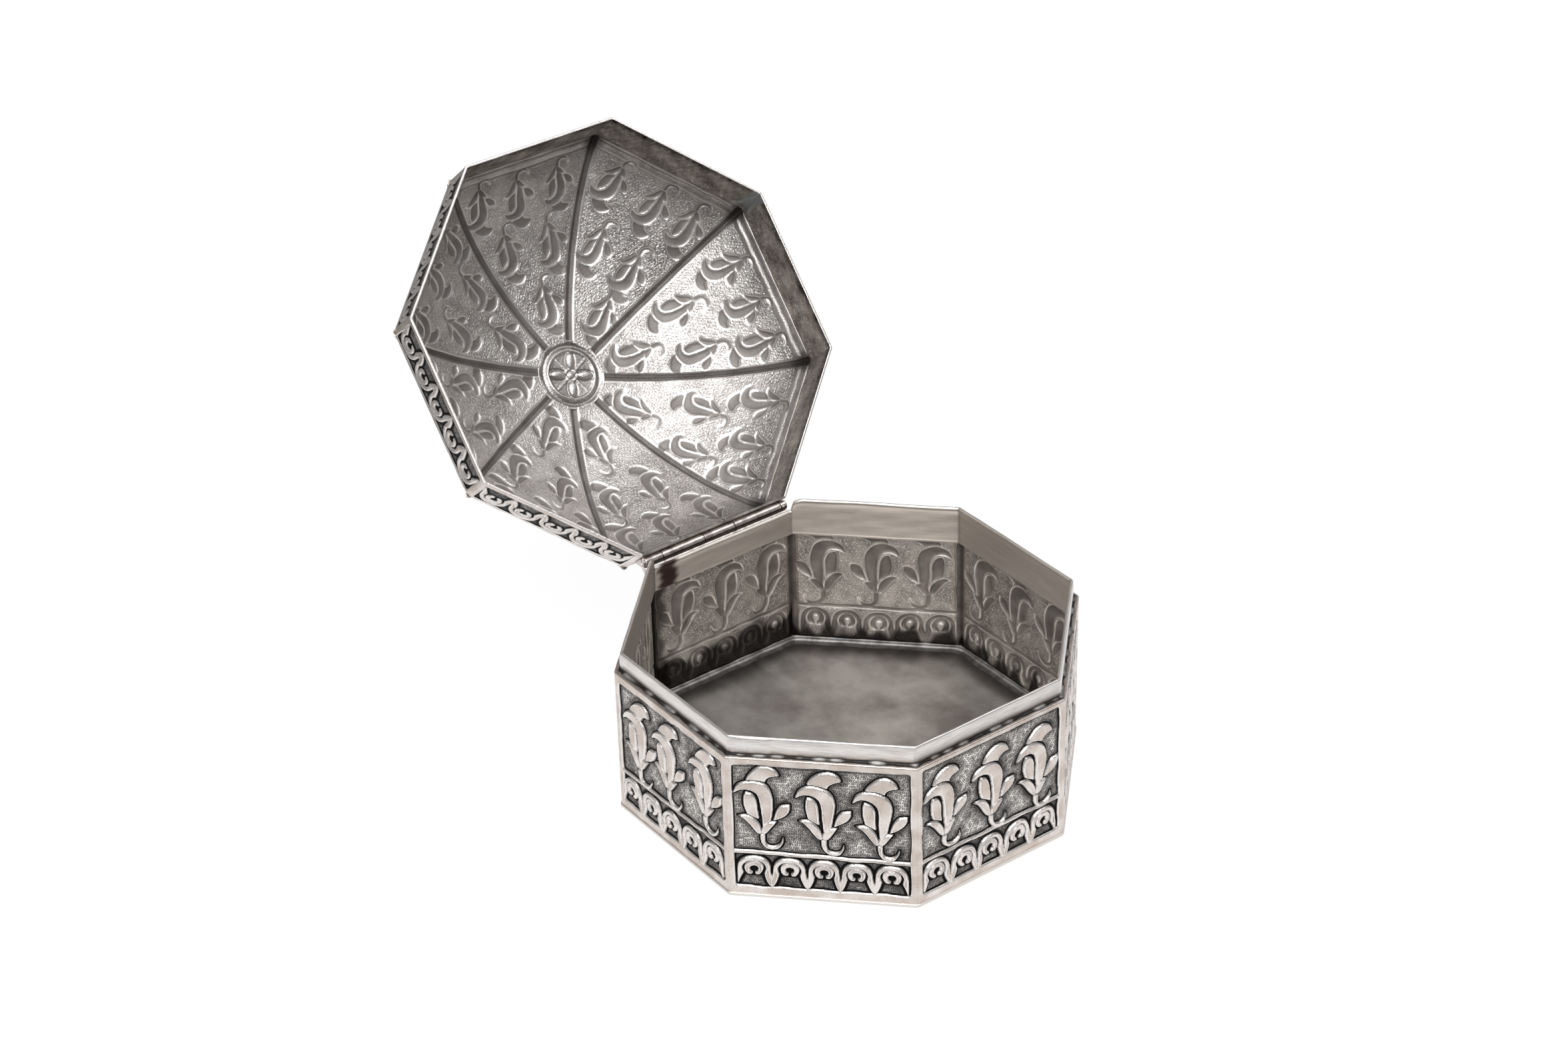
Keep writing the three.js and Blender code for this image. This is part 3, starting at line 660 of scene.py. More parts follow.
def wall_relief(side, x, z):
    """Height of one side's chased face, with the distances that its finish is painted by: form,
    from the nearest raised form, and ring, from the nearest punch mark."""
    rng = np.random.default_rng(100 + side)
    feet = np.array(FLOWER_FEET.get(side, USUAL_FEET + rng.normal(0, 0.35, (3, 2))))
    eyes = np.array(EYES.get(side, USUAL_EYES + rng.normal(0, 0.2, (5, 2))))
    rule_left, rule_right = RULES.get(side, USUAL_RULE + rng.normal(0, 0.25, 2))
    field_top = FIELD_TOPS.get(side, USUAL_FIELD_TOP)
    hand_x = x + wander(x, z, 200 + side, 0.13, 9)
    hand_z = z + wander(x, z, 300 + side, 0.13, 9)
    field = box_distance(hand_x, hand_z, FIELD_LEFT, FIELD_RIGHT, FRIEZE_BOTTOM, field_top, FIELD_CORNER)
    rule_z = np.interp(x, (FIELD_LEFT, FIELD_RIGHT), (rule_left, rule_right))
    rule = np.abs(hand_z - rule_z) - RULE_HALF_WIDTH
    plain = np.minimum(-field, rule)
    motifs = scallop_distance(hand_x, hand_z, eyes)
    for foot, lean, size in zip(feet, rng.normal(0, 0.02, 3), rng.normal(1, 0.012, 3)):
        motifs = np.minimum(motifs, flower_distance(hand_x, hand_z, foot, size, lean))
    form = np.minimum(plain * FRAME_NARROWING, motifs)
    ring = punch_distance(x, z, 400 + side) + smooth_step(*BARE_WIDTH, form) * NO_PUNCH
    chased = chased_height(motifs, ring, GROUND_DEPTH, GROOVE_DEPTH, PETAL_PROUD, PETAL_CROWN)
    framed = chased_height(plain, ring, GROUND_DEPTH, GROOVE_DEPTH * 0.6, 0.0, 0.0)
    height = np.where(plain * FRAME_NARROWING < motifs, framed, chased)
    form = shaded(form, z < rule_z, to_eyes(hand_x, hand_z, eyes))
    near_corner = smooth_step(FIELD_RIGHT + 1.2, FIELD_RIGHT, np.abs(x))
    return height + near_corner * wander(x, z, 500 + side, 0.03, 5), form, ring


def panel_columns(reach, radius, step):
    """Places along one side, closer together on the corner arcs."""
    straight = (reach - radius) * math.tan(HALF_SIDE_ANGLE)
    arc = straight + radius * HALF_SIDE_ANGLE * np.arange(1, 6) / 5
    middle = np.linspace(-straight, straight, int(2 * straight / step) + 1)
    return np.concatenate([-arc[::-1], middle, arc])


def end_caps(rows, columns):
    """The two flat ends of a tube of rows, as one many-sided face each."""
    first = np.arange(rows) * columns
    return [first[None, :], (first + columns - 1)[::-1][None, :]]


def wall_side(side):
    """One side of the wall as a closed shell: up its face, over its top edge, and down its back,
    where the chasing shows in reverse."""
    along = panel_columns(WALL_FACE, WALL_CORNER_RADIUS, WALL_STEP)
    up = np.arange(WALL_BOTTOM, WALL_TOP - EDGE_ROUND, WALL_STEP)
    x, z = np.meshgrid(along, up)
    height, form, ring = wall_relief(side, x, z)
    back = soften(height, 5)[::2] - SHEET_THICKNESS
    behind_bezel = smooth_step(BEZEL_FOOT - 1.5, BEZEL_FOOT - 0.2, z[::2])
    back = back * (1 - behind_bezel) + (SOLDER_FILM - WALL_INSIDE) * behind_bezel
    bend = np.linspace(0, math.pi / 2, 4)[1:, None]
    edge_out = height[-1] - EDGE_ROUND * (1 - np.cos(bend))
    edge_z = WALL_TOP - EDGE_ROUND + EDGE_ROUND * np.sin(bend)
    lip_out = np.stack([back[-1] + 0.06, back[-1], back[-1]])
    lip_z = np.array([[WALL_TOP], [WALL_TOP - 0.02], [WALL_TOP - 0.08]])
    proud = np.concatenate([height, edge_out, lip_out, back[::-1]])
    tall = np.concatenate([z, edge_z + 0 * edge_out, lip_z + 0 * lip_out, z[::2][::-1]])
    points = on_side(side, along[None, :], proud, tall, WALL_FACE, WALL_CORNER_RADIUS)
    plain_rows = len(edge_out) + len(lip_out)
    forms = np.concatenate([form, np.full((plain_rows, len(along)), -1.0), form[::2][::-1]])
    rings = np.concatenate([ring, np.full((plain_rows, len(along)), NO_PUNCH), ring[::2][::-1]])
    inner = np.concatenate([np.zeros(len(z) + len(edge_out)), np.ones(len(lip_out) + len(back))])
    # Painted shade on the back: darker towards the floor in uneven tongues, higher on the back side, in the
    # corners, and towards one end of the back side.
    uneven = wander(along[None, :], tall, 600 + side, 1.2, 9)
    tongues = wander(along[None, :], tall * 0, 650 + side, 2.2, 5)
    above_soot = tall + uneven + tongues - (BACK_SIDE_SHADE_RISE if side == BACK_SIDE else 0)
    in_corner = smooth_step(23.2, 24.4, np.abs(along[None, :]))
    grime = FLOOR_SHADE_SHARE * smooth_step(*FLOOR_SHADE_HEIGHTS, above_soot) + CORNER_SHADE_SHARE * in_corner
    if side == BACK_SIDE:
        grime = grime + 0.8 * smooth_step(19.0, 22.0, along[None, :] + 0.8 * uneven)
    rows, columns = proud.shape
    return add_piece(f"wall_side_{side}", points.reshape(-1, 3), [grid_faces(rows, columns, tube=True)],
                     end_caps(rows, columns), form=forms, ring=rings, inner=np.repeat(inner, columns),
                     grime=np.clip(grime, 0, 1))


def chased_finish(title, inside_highlight, inside_tone, inside_stain, inside_rough, hollow_shade_share):
    """Chased silver: bright edges, a faint engraved line and dull warm middles on the petals and
    frames, and black sulphide in the grooves, the punch marks and patches of the ground, worn off
    between them. The unpolished back is a dull brown grey, with a painted highlight on its raised
    lines, dots and specks, painted shade in the hollows of the petals by the share given, and a
    painted darkening by attribute: grime on the lid's rim and painted shade on the walls, gores and rosette."""
    made, tree, shader = finish(title)
    place = add_node(tree, "ShaderNodeTexCoord").outputs["Object"]
    form, ring, inner, grime, tinned = (
        add_node(tree, "ShaderNodeAttribute", attribute_name=painted).outputs["Fac"]
        for painted in ("form", "ring", "inner", "grime", "tinned"))
    grit = add_node(tree, "ShaderNodeTexNoise", {"Vector": place, "Scale": per_mm(0.5),
                                                 "Detail": 3.0}).outputs[0]
    cloud = add_node(tree, "ShaderNodeTexNoise", {"Vector": place, "Scale": per_mm(6),
                                                  "Detail": 4.0}).outputs[0]
    into_groove = add_node(tree, "ShaderNodeMapRange", {"Value": form, "From Min": -0.04, "From Max": 0.14})
    out_of_groove = add_node(tree, "ShaderNodeMapRange", {"Value": form, "From Min": 0.5, "From Max": 1.0,
                                                          "To Min": 1.0, "To Max": 0.0})
    groove = add_node(tree, "ShaderNodeMath", {0: into_groove.outputs[0], 1: out_of_groove.outputs[0]},
                      operation="MULTIPLY")
    near_form = add_node(tree, "ShaderNodeMapRange", {"Value": form, "From Min": 0.9, "From Max": 2.9,
                                                      "To Min": 1.0, "To Max": 0.0})
    patchy = add_node(tree, "ShaderNodeMapRange", {"Value": cloud, "From Min": 0.38, "From Max": 0.62,
                                                   "To Min": 0.55, "To Max": 1.0})
    kept = add_node(tree, "ShaderNodeMath", {0: near_form.outputs[0], 1: patchy.outputs[0]},
                    operation="MULTIPLY")
    kept = add_node(tree, "ShaderNodeMath", {0: kept.outputs[0], 1: 0.7}, operation="POWER")
    dark_patch = add_node(tree, "ShaderNodeMapRange", {"Value": cloud, "From Min": 0.46, "From Max": 0.6,
                                                       "To Min": 0.0, "To Max": 0.7})
    kept = add_node(tree, "ShaderNodeMath", {0: kept.outputs[0], 1: dark_patch.outputs[0]},
                    operation="MAXIMUM")
    off_ring = add_node(tree, "ShaderNodeMath", {0: ring, 1: PUNCH_RING_RADIUS}, operation="SUBTRACT")
    off_ring = add_node(tree, "ShaderNodeMath", {0: off_ring.outputs[0]}, operation="ABSOLUTE")
    mark = add_node(tree, "ShaderNodeMapRange", {"Value": off_ring.outputs[0], "From Min": 0.05,
                                                 "From Max": 0.14, "To Min": 1.0, "To Max": 0.0})
    mark_dark = add_node(tree, "ShaderNodeMapRange", {"Value": kept.outputs[0], "To Min": 0.75,
                                                      "To Max": 1.0})
    mark_dark = add_node(tree, "ShaderNodeMath", {0: mark.outputs[0], 1: mark_dark.outputs[0]},
                         operation="MULTIPLY")
    below = add_node(tree, "ShaderNodeMapRange", {"Value": form, "From Min": 0.0, "From Max": 0.3,
                                                  "To Min": 0.0, "To Max": 0.9})
    film = add_node(tree, "ShaderNodeMath", {0: kept.outputs[0], 1: below.outputs[0]}, operation="MULTIPLY")
    oxide = add_node(tree, "ShaderNodeMath", {0: groove.outputs[0], 1: mark_dark.outputs[0]},
                     operation="MAXIMUM")
    oxide = add_node(tree, "ShaderNodeMath", {0: oxide.outputs[0], 1: film.outputs[0]}, operation="MAXIMUM")
    middle = add_node(tree, "ShaderNodeMapRange", {"Value": form, "From Min": -0.3, "From Max": -0.7})
    rubbed = add_node(tree, "ShaderNodeMapRange", {"Value": cloud, "From Min": 0.3, "From Max": 0.6,
                                                   "To Min": 0.15, "To Max": 0.85})
    rubbed = add_node(tree, "ShaderNodeMath", {0: middle.outputs[0], 1: rubbed.outputs[0]},
                      operation="MULTIPLY")
    metal = add_node(tree, "ShaderNodeMix", {0: rubbed.outputs[0], 6: linear(CHASED_BRIGHT),
                                             7: linear(CHASED_WARM)}, data_type="RGBA")
    on_ground = add_node(tree, "ShaderNodeMapRange", {"Value": form, "From Min": 0.0, "From Max": 0.3})
    metal = add_node(tree, "ShaderNodeMix", {0: on_ground.outputs[0], 6: metal.outputs[2],
                                             7: linear(CHASED_GROUND)}, data_type="RGBA")
    dirt = add_node(tree, "ShaderNodeMapRange", {"Value": grit, "From Min": 0.58, "From Max": 0.74,
                                                 "To Min": 0.0, "To Max": 0.4})
    metal = add_node(tree, "ShaderNodeMix", {0: dirt.outputs[0], 6: metal.outputs[2], 7: linear(DIRT)},
                     data_type="RGBA")
    from_line = add_node(tree, "ShaderNodeMath", {0: form, 1: ENGRAVED_LINE_INSET}, operation="ADD")
    from_line = add_node(tree, "ShaderNodeMath", {0: from_line.outputs[0]}, operation="ABSOLUTE")
    line = add_node(tree, "ShaderNodeMapRange", {"Value": from_line.outputs[0], "From Min": 0.03,
                                                 "From Max": 0.11, "To Min": 0.75, "To Max": 0.0})
    line_part = add_node(tree, "ShaderNodeMapRange", {"Value": cloud, "From Min": 0.44, "From Max": 0.56})
    line = add_node(tree, "ShaderNodeMath", {0: line.outputs[0], 1: line_part.outputs[0]},
                    operation="MULTIPLY")
    metal = add_node(tree, "ShaderNodeMix", {0: line.outputs[0], 6: metal.outputs[2], 7: linear(DIRT)},
                     data_type="RGBA")
    face = add_node(tree, "ShaderNodeMix", {0: oxide.outputs[0], 6: metal.outputs[2], 7: linear(OXIDE)},
                    data_type="RGBA")
    stain = add_node(tree, "ShaderNodeMapRange", {"Value": cloud, "From Min": 0.38, "From Max": 0.62})
    back = add_node(tree, "ShaderNodeMix", {0: stain.outputs[0], 6: linear(inside_tone),
                                            7: linear(inside_stain)}, data_type="RGBA")
    # Painted shade in the hollows of the petals on the back.
    hollow = add_node(tree, "ShaderNodeMapRange", {"Value": form, "From Min": 0.05, "From Max": -0.25,
                                                   "To Min": 0.0, "To Max": hollow_shade_share})
    back = add_node(tree, "ShaderNodeMix", {0: hollow.outputs[0], 6: back.outputs[2],
                                            7: linear(INSIDE_HOLLOW_SHADE)}, data_type="RGBA")
    # Painted highlight on the back: its raised lines, the bumps of the punch marks and specks on the open
    # ground are lightened.
    ridge = add_node(tree, "ShaderNodeMapRange", {"Value": form, "From Min": 0.5, "From Max": 0.2})
    ridge = add_node(tree, "ShaderNodeMath", {0: ridge.outputs[0], 1: into_groove.outputs[0]},
                     operation="MULTIPLY")
    dot = add_node(tree, "ShaderNodeMapRange", {"Value": ring, "From Min": 0.42, "From Max": 0.12})
    worn = add_node(tree, "ShaderNodeMapRange", {"Value": grit, "From Min": 0.42, "From Max": 0.58})
    dot = add_node(tree, "ShaderNodeMath", {0: dot.outputs[0], 1: worn.outputs[0]}, operation="MULTIPLY")
    speck = add_node(tree, "ShaderNodeMapRange", {"Value": grit, "From Min": 0.52, "From Max": 0.62})
    on_open_ground = add_node(tree, "ShaderNodeMapRange", {"Value": form, "From Min": 0.4, "From Max": 0.8,
                                                           "To Min": 0.0, "To Max": 0.75})
    speck = add_node(tree, "ShaderNodeMath", {0: speck.outputs[0], 1: on_open_ground.outputs[0]},
                    operation="MULTIPLY")
    dot = add_node(tree, "ShaderNodeMath", {0: dot.outputs[0], 1: speck.outputs[0]}, operation="MAXIMUM")
    light = add_node(tree, "ShaderNodeMath", {0: ridge.outputs[0], 1: dot.outputs[0]}, operation="MAXIMUM")
    light = add_node(tree, "ShaderNodeMath", {0: light.outputs[0], 1: 0.85}, operation="MULTIPLY")
    back = add_node(tree, "ShaderNodeMix", {0: light.outputs[0], 6: back.outputs[2],
                                            7: linear(inside_highlight)}, data_type="RGBA")
    # A painted darkening by attribute: grime on the lid's rim, painted shade on the walls, gores and rosette.
    back = add_node(tree, "ShaderNodeMix", {0: grime, 6: back.outputs[2], 7: linear(INSIDE_GRIME_AND_SHADE)},
                    data_type="RGBA")
    back = add_node(tree, "ShaderNodeMix", {0: tinned, 6: back.outputs[2], 7: linear(TINNED)},
                    data_type="RGBA")
    tone = add_node(tree, "ShaderNodeMix", {0: inner, 6: face.outputs[2], 7: back.outputs[2]},
                    data_type="RGBA")
    tree.links.new(tone.outputs[2], shader.inputs["Base Color"])
    rough = add_node(tree, "ShaderNodeMapRange", {"Value": oxide.outputs[0], "To Min": 0.32, "To Max": 0.6})
    back_rough = add_node(tree, "ShaderNodeMapRange", {"Value": form, "From Min": 0.1, "From Max": -0.2,
                                                       "To Min": inside_rough, "To Max": 0.66})
    rough = add_node(tree, "ShaderNodeMix", {0: inner, 2: rough.outputs[0], 3: back_rough.outputs[0]},
                     data_type="FLOAT")
    tree.links.new(rough.outputs[0], shader.inputs["Roughness"])
    pimple = add_node(tree, "ShaderNodeMapRange", {"Value": ring, "From Min": 0.5, "From Max": 0.1})
    pimple = add_node(tree, "ShaderNodeMath", {0: pimple.outputs[0], 1: worn.outputs[0]},
                      operation="MULTIPLY")
    pimple = add_node(tree, "ShaderNodeMath", {0: pimple.outputs[0], 1: 1.4}, operation="MULTIPLY")
    dent = add_node(tree, "ShaderNodeMath", {0: mark.outputs[0], 1: -1.0}, operation="MULTIPLY")
    marks = add_node(tree, "ShaderNodeMix", {0: inner, 2: dent.outputs[0], 3: pimple.outputs[0]},
                     data_type="FLOAT")
    relief = add_node(tree, "ShaderNodeMath", {0: grit, 1: marks.outputs[0]}, operation="ADD")
    bump = add_node(tree, "ShaderNodeBump", {"Height": relief.outputs[0], "Strength": 0.9,
                                             "Distance": 0.11 * MM})
    tree.links.new(bump.outputs[0], shader.inputs["Normal"])
    return made


chased_silver = chased_finish("chased_silver_sheet", INSIDE_HIGHLIGHT, INSIDE_TONE, INSIDE_STAIN, 0.46, 0.45)
for side in range(SIDES):
    wall = wall_side(side)
    wall.data.materials.append(chased_silver)
    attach(wall, "box_body")
    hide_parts("body_wall")

# Floor solder
# Silver solder run along the angle between the plate and the wall. It set in a slightly uneven
# fillet, scraped and grey, with a little soot where it is thin.
SOLDER_COLOUR = "#B4B2B0"
SOLDER_DARK = "#8F8B88"
SOLDER_SOOT = "#24211F"
FLOOR_BEAD_CORNER_RADIUS = 4.5
FLOOR_BEAD_REACH = 2.0
FLOOR_BEAD_HEIGHT = 1.5
BEAD_HALF_SIDE = 25
BEAD_LUMP_LENGTH = 7

# Silver solder: paler and colder than the sheet, matt, with fine pits.
solder_grey, tree, shader = finish("silver_solder")
place = add_node(tree, "ShaderNodeTexCoord").outputs["Object"]
cloud = add_node(tree, "ShaderNodeTexNoise", {"Vector": place, "Scale": per_mm(3), "Detail": 4.0})
grime = add_node(tree, "ShaderNodeMapRange", {"Value": cloud.outputs[0], "From Min": 0.42,
                                              "From Max": 0.62})
tone = add_node(tree, "ShaderNodeMix", {0: grime.outputs[0], 6: linear(SOLDER_COLOUR),
                                        7: linear(SOLDER_DARK)}, data_type="RGBA")
soiled = add_node(tree, "ShaderNodeAttribute", attribute_name="soiled").outputs["Fac"]
tone = add_node(tree, "ShaderNodeMix", {0: soiled, 6: tone.outputs[2], 7: linear(SOLDER_SOOT)},
                data_type="RGBA")
tree.links.new(tone.outputs[2], shader.inputs["Base Color"])
shader.inputs["Roughness"].default_value = 0.6
pits = add_node(tree, "ShaderNodeTexNoise", {"Vector": place, "Scale": per_mm(0.5), "Detail": 3.0})
bump = add_node(tree, "ShaderNodeBump", {"Height": pits.outputs[0], "Strength": 0.5, "Distance": 0.08 * MM})
tree.links.new(bump.outputs[0], shader.inputs["Normal"])


def bead(name, corner, reach, height, seed, amount, radius, soot, hidden=0.6):
    """A fillet carried once round the octagon in a corner given as (reach, height): a hollow
    quarter curve from the upright face down to the level one, its size uneven along the way by
    amount. A negative reach lays it outward. soot is how black it is where it runs thin, and
    hidden the share of its reach that lies inside the upright piece."""
    side, share = all_round(90, 0.3)
    turn = np.linspace(0, math.pi / 2, 7)
    inward, up = 1 - np.sin(turn), 1 - np.cos(turn)
    way_round = (side * 2 + share) * BEAD_HALF_SIDE
    swell = 1 + wander(way_round, share * 3, seed, amount, BEAD_LUMP_LENGTH)[None, :]
    soiled = soot * smooth_step(1 + 0.5 * amount, 1 - 0.2 * amount, swell)
    wide = np.concatenate([inward[::-1] * abs(reach), [-hidden * abs(reach)] * 2])[:, None]
    tall = np.concatenate([up[::-1] * height, [height, -0.02]])[:, None]
    free = np.concatenate([np.ones(len(turn)), np.zeros(2)])[:, None]
    wide = wide * (1 + free * (swell - 1)) * np.sign(reach)
    tall = tall * (1 + free * (swell - 1))
    reaches = corner[0] - wide
    radii = np.full(reaches.shape, radius)
    across, out, _, _ = rounded_side(share[None, :] * half_length(reaches, radii), reaches, radii)
    points = turned_to(side[None, :], across, out, corner[1] + tall)
    faces = grid_faces(*points.shape[:2], ring=True, tube=True)
    if reach > 0:
        faces = faces[:, ::-1]
    made = add_piece(name, points.reshape(-1, 3), [faces], soiled=np.broadcast_to(soiled, points.shape[:2]))
    made.data.materials.append(solder_grey)
    return made


floor_bead = bead("floor_fillet", (WALL_FACE - 0.9, WALL_BOTTOM), FLOOR_BEAD_REACH, FLOOR_BEAD_HEIGHT,
                  21, 0.09, FLOOR_BEAD_CORNER_RADIUS, 0.15, hidden=0.25)
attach(floor_bead, "box_body")
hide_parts("floor_solder")

# Bezel
# A plain band of 0.9 mm silver soldered inside the wall's top edge, with its face turned
# slightly round and rubbed along its length. It is cut low behind the hinge, between two
# round shoulders, its ends lap in the middle of a side, and one dark stain marks its back.
BEZEL_LOW, BEZEL_HIGH = (np.array(corner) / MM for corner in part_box("bezel"))
BEZEL_FACE = BEZEL_HIGH[0]
BEZEL_THICKNESS = 0.9
BEZEL_CORNER_RADIUS = 1.0
BEZEL_BULGE = 0.3
BEZEL_BEHIND_HINGE = 1.7
BEZEL_SHOULDER = 3.0
BEZEL_BELOW_ROWS, BEZEL_FACE_ROWS, BEZEL_BACK_ROWS = 6, 15, 14
LAP_SIDE, LAP_PLACE, LAP_STEP = 7, -13.6, 0.14
LAP_DENT_DEPTH, LAP_DENT_HEIGHT = 0.25, 46.2
BEZEL_BRIGHT = "#F6F2EF"
BEZEL_DULL = "#DCD5D0"
BEZEL_BACK = "#F3ECE4"
BEZEL_BACK_DULL = "#EAE2D9"
# Colour of the back's stain, also used for its painted shade.
BEZEL_STAIN_AND_SHADE = "#54423F"
STAIN_PLACE, STAIN_HALF = 18.5, 3.1
# Painted shade on the face, darkest at its foot; on side 0 it reaches higher.
BEZEL_LOW_SHADE = "#3E3835"
LOW_SHADE_REACH, LOW_SHADE_FRONT_EXTRA = 3.2, 1.6

# Plain silver, burnished and then rubbed by the lid: fine scratches along the band, dull where
# they lie close, painted shade towards the foot of its face, and a smoother satin back with one
# stain and painted shade in its corners and on one side.
plain_silver, tree, shader = finish("burnished_plain_silver")
place = add_node(tree, "ShaderNodeTexCoord").outputs["Object"]
inner = add_node(tree, "ShaderNodeAttribute", attribute_name="inner").outputs["Fac"]
low_edge = add_node(tree, "ShaderNodeAttribute", attribute_name="low_edge").outputs["Fac"]
along_map = add_node(tree, "ShaderNodeMapping", {"Vector": place, "Scale": (0.05, 0.05, 1)})
scratch = add_node(tree, "ShaderNodeTexNoise", {"Vector": along_map.outputs[0], "Scale": per_mm(0.22),
                                                "Detail": 4.0})
rubbed = add_node(tree, "ShaderNodeMapRange", {"Value": scratch.outputs[0], "From Min": 0.42,
                                               "From Max": 0.7})
spots = add_node(tree, "ShaderNodeTexNoise", {"Vector": place, "Scale": per_mm(1.2), "Detail": 4.0})
spotted = add_node(tree, "ShaderNodeMapRange", {"Value": spots.outputs[0], "From Min": 0.6,
                                                "From Max": 0.72, "To Min": 0.0, "To Max": 0.6})
rubbed = add_node(tree, "ShaderNodeMath", {0: rubbed.outputs[0], 1: spotted.outputs[0]},
                  operation="MAXIMUM")
face = add_node(tree, "ShaderNodeMix", {0: rubbed.outputs[0], 6: linear(BEZEL_BRIGHT),
                                        7: linear(BEZEL_DULL)}, data_type="RGBA")
face = add_node(tree, "ShaderNodeMix", {0: low_edge, 6: face.outputs[2], 7: linear(BEZEL_LOW_SHADE)},
                data_type="RGBA")
stained = add_node(tree, "ShaderNodeAttribute", attribute_name="stained").outputs["Fac"]
brushed = add_node(tree, "ShaderNodeTexNoise", {"Vector": along_map.outputs[0], "Scale": per_mm(0.7),
                                                "Detail": 5.0})
brushed = add_node(tree, "ShaderNodeMapRange", {"Value": brushed.outputs[0], "From Min": 0.35,
                                                "From Max": 0.65})
back = add_node(tree, "ShaderNodeMix", {0: brushed.outputs[0], 6: linear(BEZEL_BACK),
                                        7: linear(BEZEL_BACK_DULL)}, data_type="RGBA")
back = add_node(tree, "ShaderNodeMix", {0: stained, 6: back.outputs[2], 7: linear(BEZEL_STAIN_AND_SHADE)},
                data_type="RGBA")
tone = add_node(tree, "ShaderNodeMix", {0: inner, 6: face.outputs[2], 7: back.outputs[2]}, data_type="RGBA")
tree.links.new(tone.outputs[2], shader.inputs["Base Color"])
rough = add_node(tree, "ShaderNodeMapRange", {"Value": scratch.outputs[0], "To Min": 0.3, "To Max": 0.44})
rough = add_node(tree, "ShaderNodeMix", {0: inner, 2: rough.outputs[0], 3: 0.42}, data_type="FLOAT")
tree.links.new(rough.outputs[0], shader.inputs["Roughness"])
bump = add_node(tree, "ShaderNodeBump", {"Height": scratch.outputs[0], "Strength": 0.3,
                                         "Distance": 0.03 * MM})
tree.links.new(bump.outputs[0], shader.inputs["Normal"])

side, share = all_round(90, -0.75)
half = half_length(BEZEL_FACE, BEZEL_CORNER_RADIUS)
along = share * half
place_top = on_side(side, along, 0, 0, BEZEL_FACE, BEZEL_CORNER_RADIUS)
past = np.abs(place_top[:, 0]) - BEZEL_FACE * math.tan(HALF_SIDE_ANGLE)
low_top = WALL_TOP + BEZEL_BEHIND_HINGE
shoulder = np.clip(BEZEL_SHOULDER - np.clip(past, 0, BEZEL_SHOULDER), 0, None)
round_top = BEZEL_HIGH[2] - BEZEL_SHOULDER + np.sqrt(BEZEL_SHOULDER**2 - shoulder**2)
top = np.where(place_top[:, 1] < 0, BEZEL_HIGH[2], np.where(past < 0, low_top, round_top))
top = top + wander(place_top[:, 0], place_top[:, 1], 31, 0.07, 30)
lip = BEZEL_THICKNESS / 2
bend = np.linspace(0, math.pi, 11)[:, None]
below = np.linspace(BEZEL_LOW[2], WALL_TOP - 0.4, BEZEL_BELOW_ROWS)[:, None]
share_up = np.linspace(0, 1, BEZEL_FACE_ROWS)[:, None]
face_z = WALL_TOP + share_up * (top - lip - WALL_TOP)
middle_z = (WALL_TOP + BEZEL_HIGH[2]) / 2
bulge = -BEZEL_BULGE * ((face_z - middle_z) / (BEZEL_HIGH[2] - middle_z)) ** 2
cap_z = top - lip + lip * np.sin(bend[1:-1])
cap_out = bulge[-1] - lip * (1 - np.cos(bend[1:-1]))
back_z = BEZEL_LOW[2] + np.linspace(1, 0, BEZEL_BACK_ROWS)[:, None] * (top - lip - BEZEL_LOW[2])
heights = np.concatenate([below + 0 * along, face_z, cap_z, back_z])
back_out = np.full((BEZEL_BACK_ROWS, len(along)), -BEZEL_THICKNESS)
back_out[:4] -= BEZEL_BULGE * np.linspace(1, 0, 4)[:, None] ** 2
proud = np.concatenate([0 * (below + along) - BEZEL_BULGE, bulge, cap_out, back_out])
lap = LAP_STEP * smooth_step(LAP_PLACE + 0.3, LAP_PLACE, along) * smooth_step(-half, LAP_PLACE - 6, along)
dent = LAP_DENT_DEPTH * np.exp(-(((along - LAP_PLACE - 0.9) / 0.6) ** 2))[None, :]
dent = dent * np.exp(-(((heights - LAP_DENT_HEIGHT) / 1.4) ** 2)) * (side == LAP_SIDE)
uneven = wander(side * 49 + along, heights * 3, 32, 0.03, 9)
outer_rows = np.arange(len(heights))[:, None] < BEZEL_BELOW_ROWS + BEZEL_FACE_ROWS
proud = proud + np.where(outer_rows, lap * (side == LAP_SIDE) - dent, 0) + uneven
points = on_side(side[None, :], along[None, :], proud, heights, BEZEL_FACE, BEZEL_CORNER_RADIUS)
outside_rows = BEZEL_BELOW_ROWS + BEZEL_FACE_ROWS + len(cap_z) // 2 + 1
inner = (np.arange(len(heights)) >= outside_rows).astype(float)
# Painted shade on the face towards its foot, reaching higher on side 0.
low_reach = LOW_SHADE_REACH + LOW_SHADE_FRONT_EXTRA * (side == 0)
low_edge = np.clip((WALL_TOP + low_reach - heights) / low_reach, 0, 1) ** 1.5 * outer_rows
edge_wave = wander(heights, heights * 0, 33, 0.8, 3.5)
stained = np.exp(-(((along[None, :] - edge_wave - STAIN_PLACE) / STAIN_HALF) ** 8)) * (side == BACK_SIDE)
# Painted shade in the back's corners and over all of side 5's back, added to the one stain.
in_corner = smooth_step(half - 1.1, half - 0.3, np.abs(along))
stained = np.maximum(stained, 0.45 * in_corner + 0.3 * (side == BACK_SIDE + 1))
bezel = add_piece("bezel_band", points.reshape(-1, 3), [grid_faces(*points.shape[:2], ring=True, tube=True)],
                  inner=np.repeat(inner, len(along)), low_edge=low_edge, stained=stained)
bezel.data.materials.append(plain_silver)
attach(bezel, "box_body")
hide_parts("bezel")

# Ledge solder
# What shows of the joint between the bezel and the wall: a low uneven line of silver solder on
# the ledge, pale where it stands up in lumps and sooty where it runs thin.
ledge_bead = bead("ledge_fillet", (BEZEL_FACE - 0.2, WALL_TOP - 0.02), -0.9, 0.42, 22, 0.36, 0.9, 0.85)
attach(ledge_bead, "box_body")

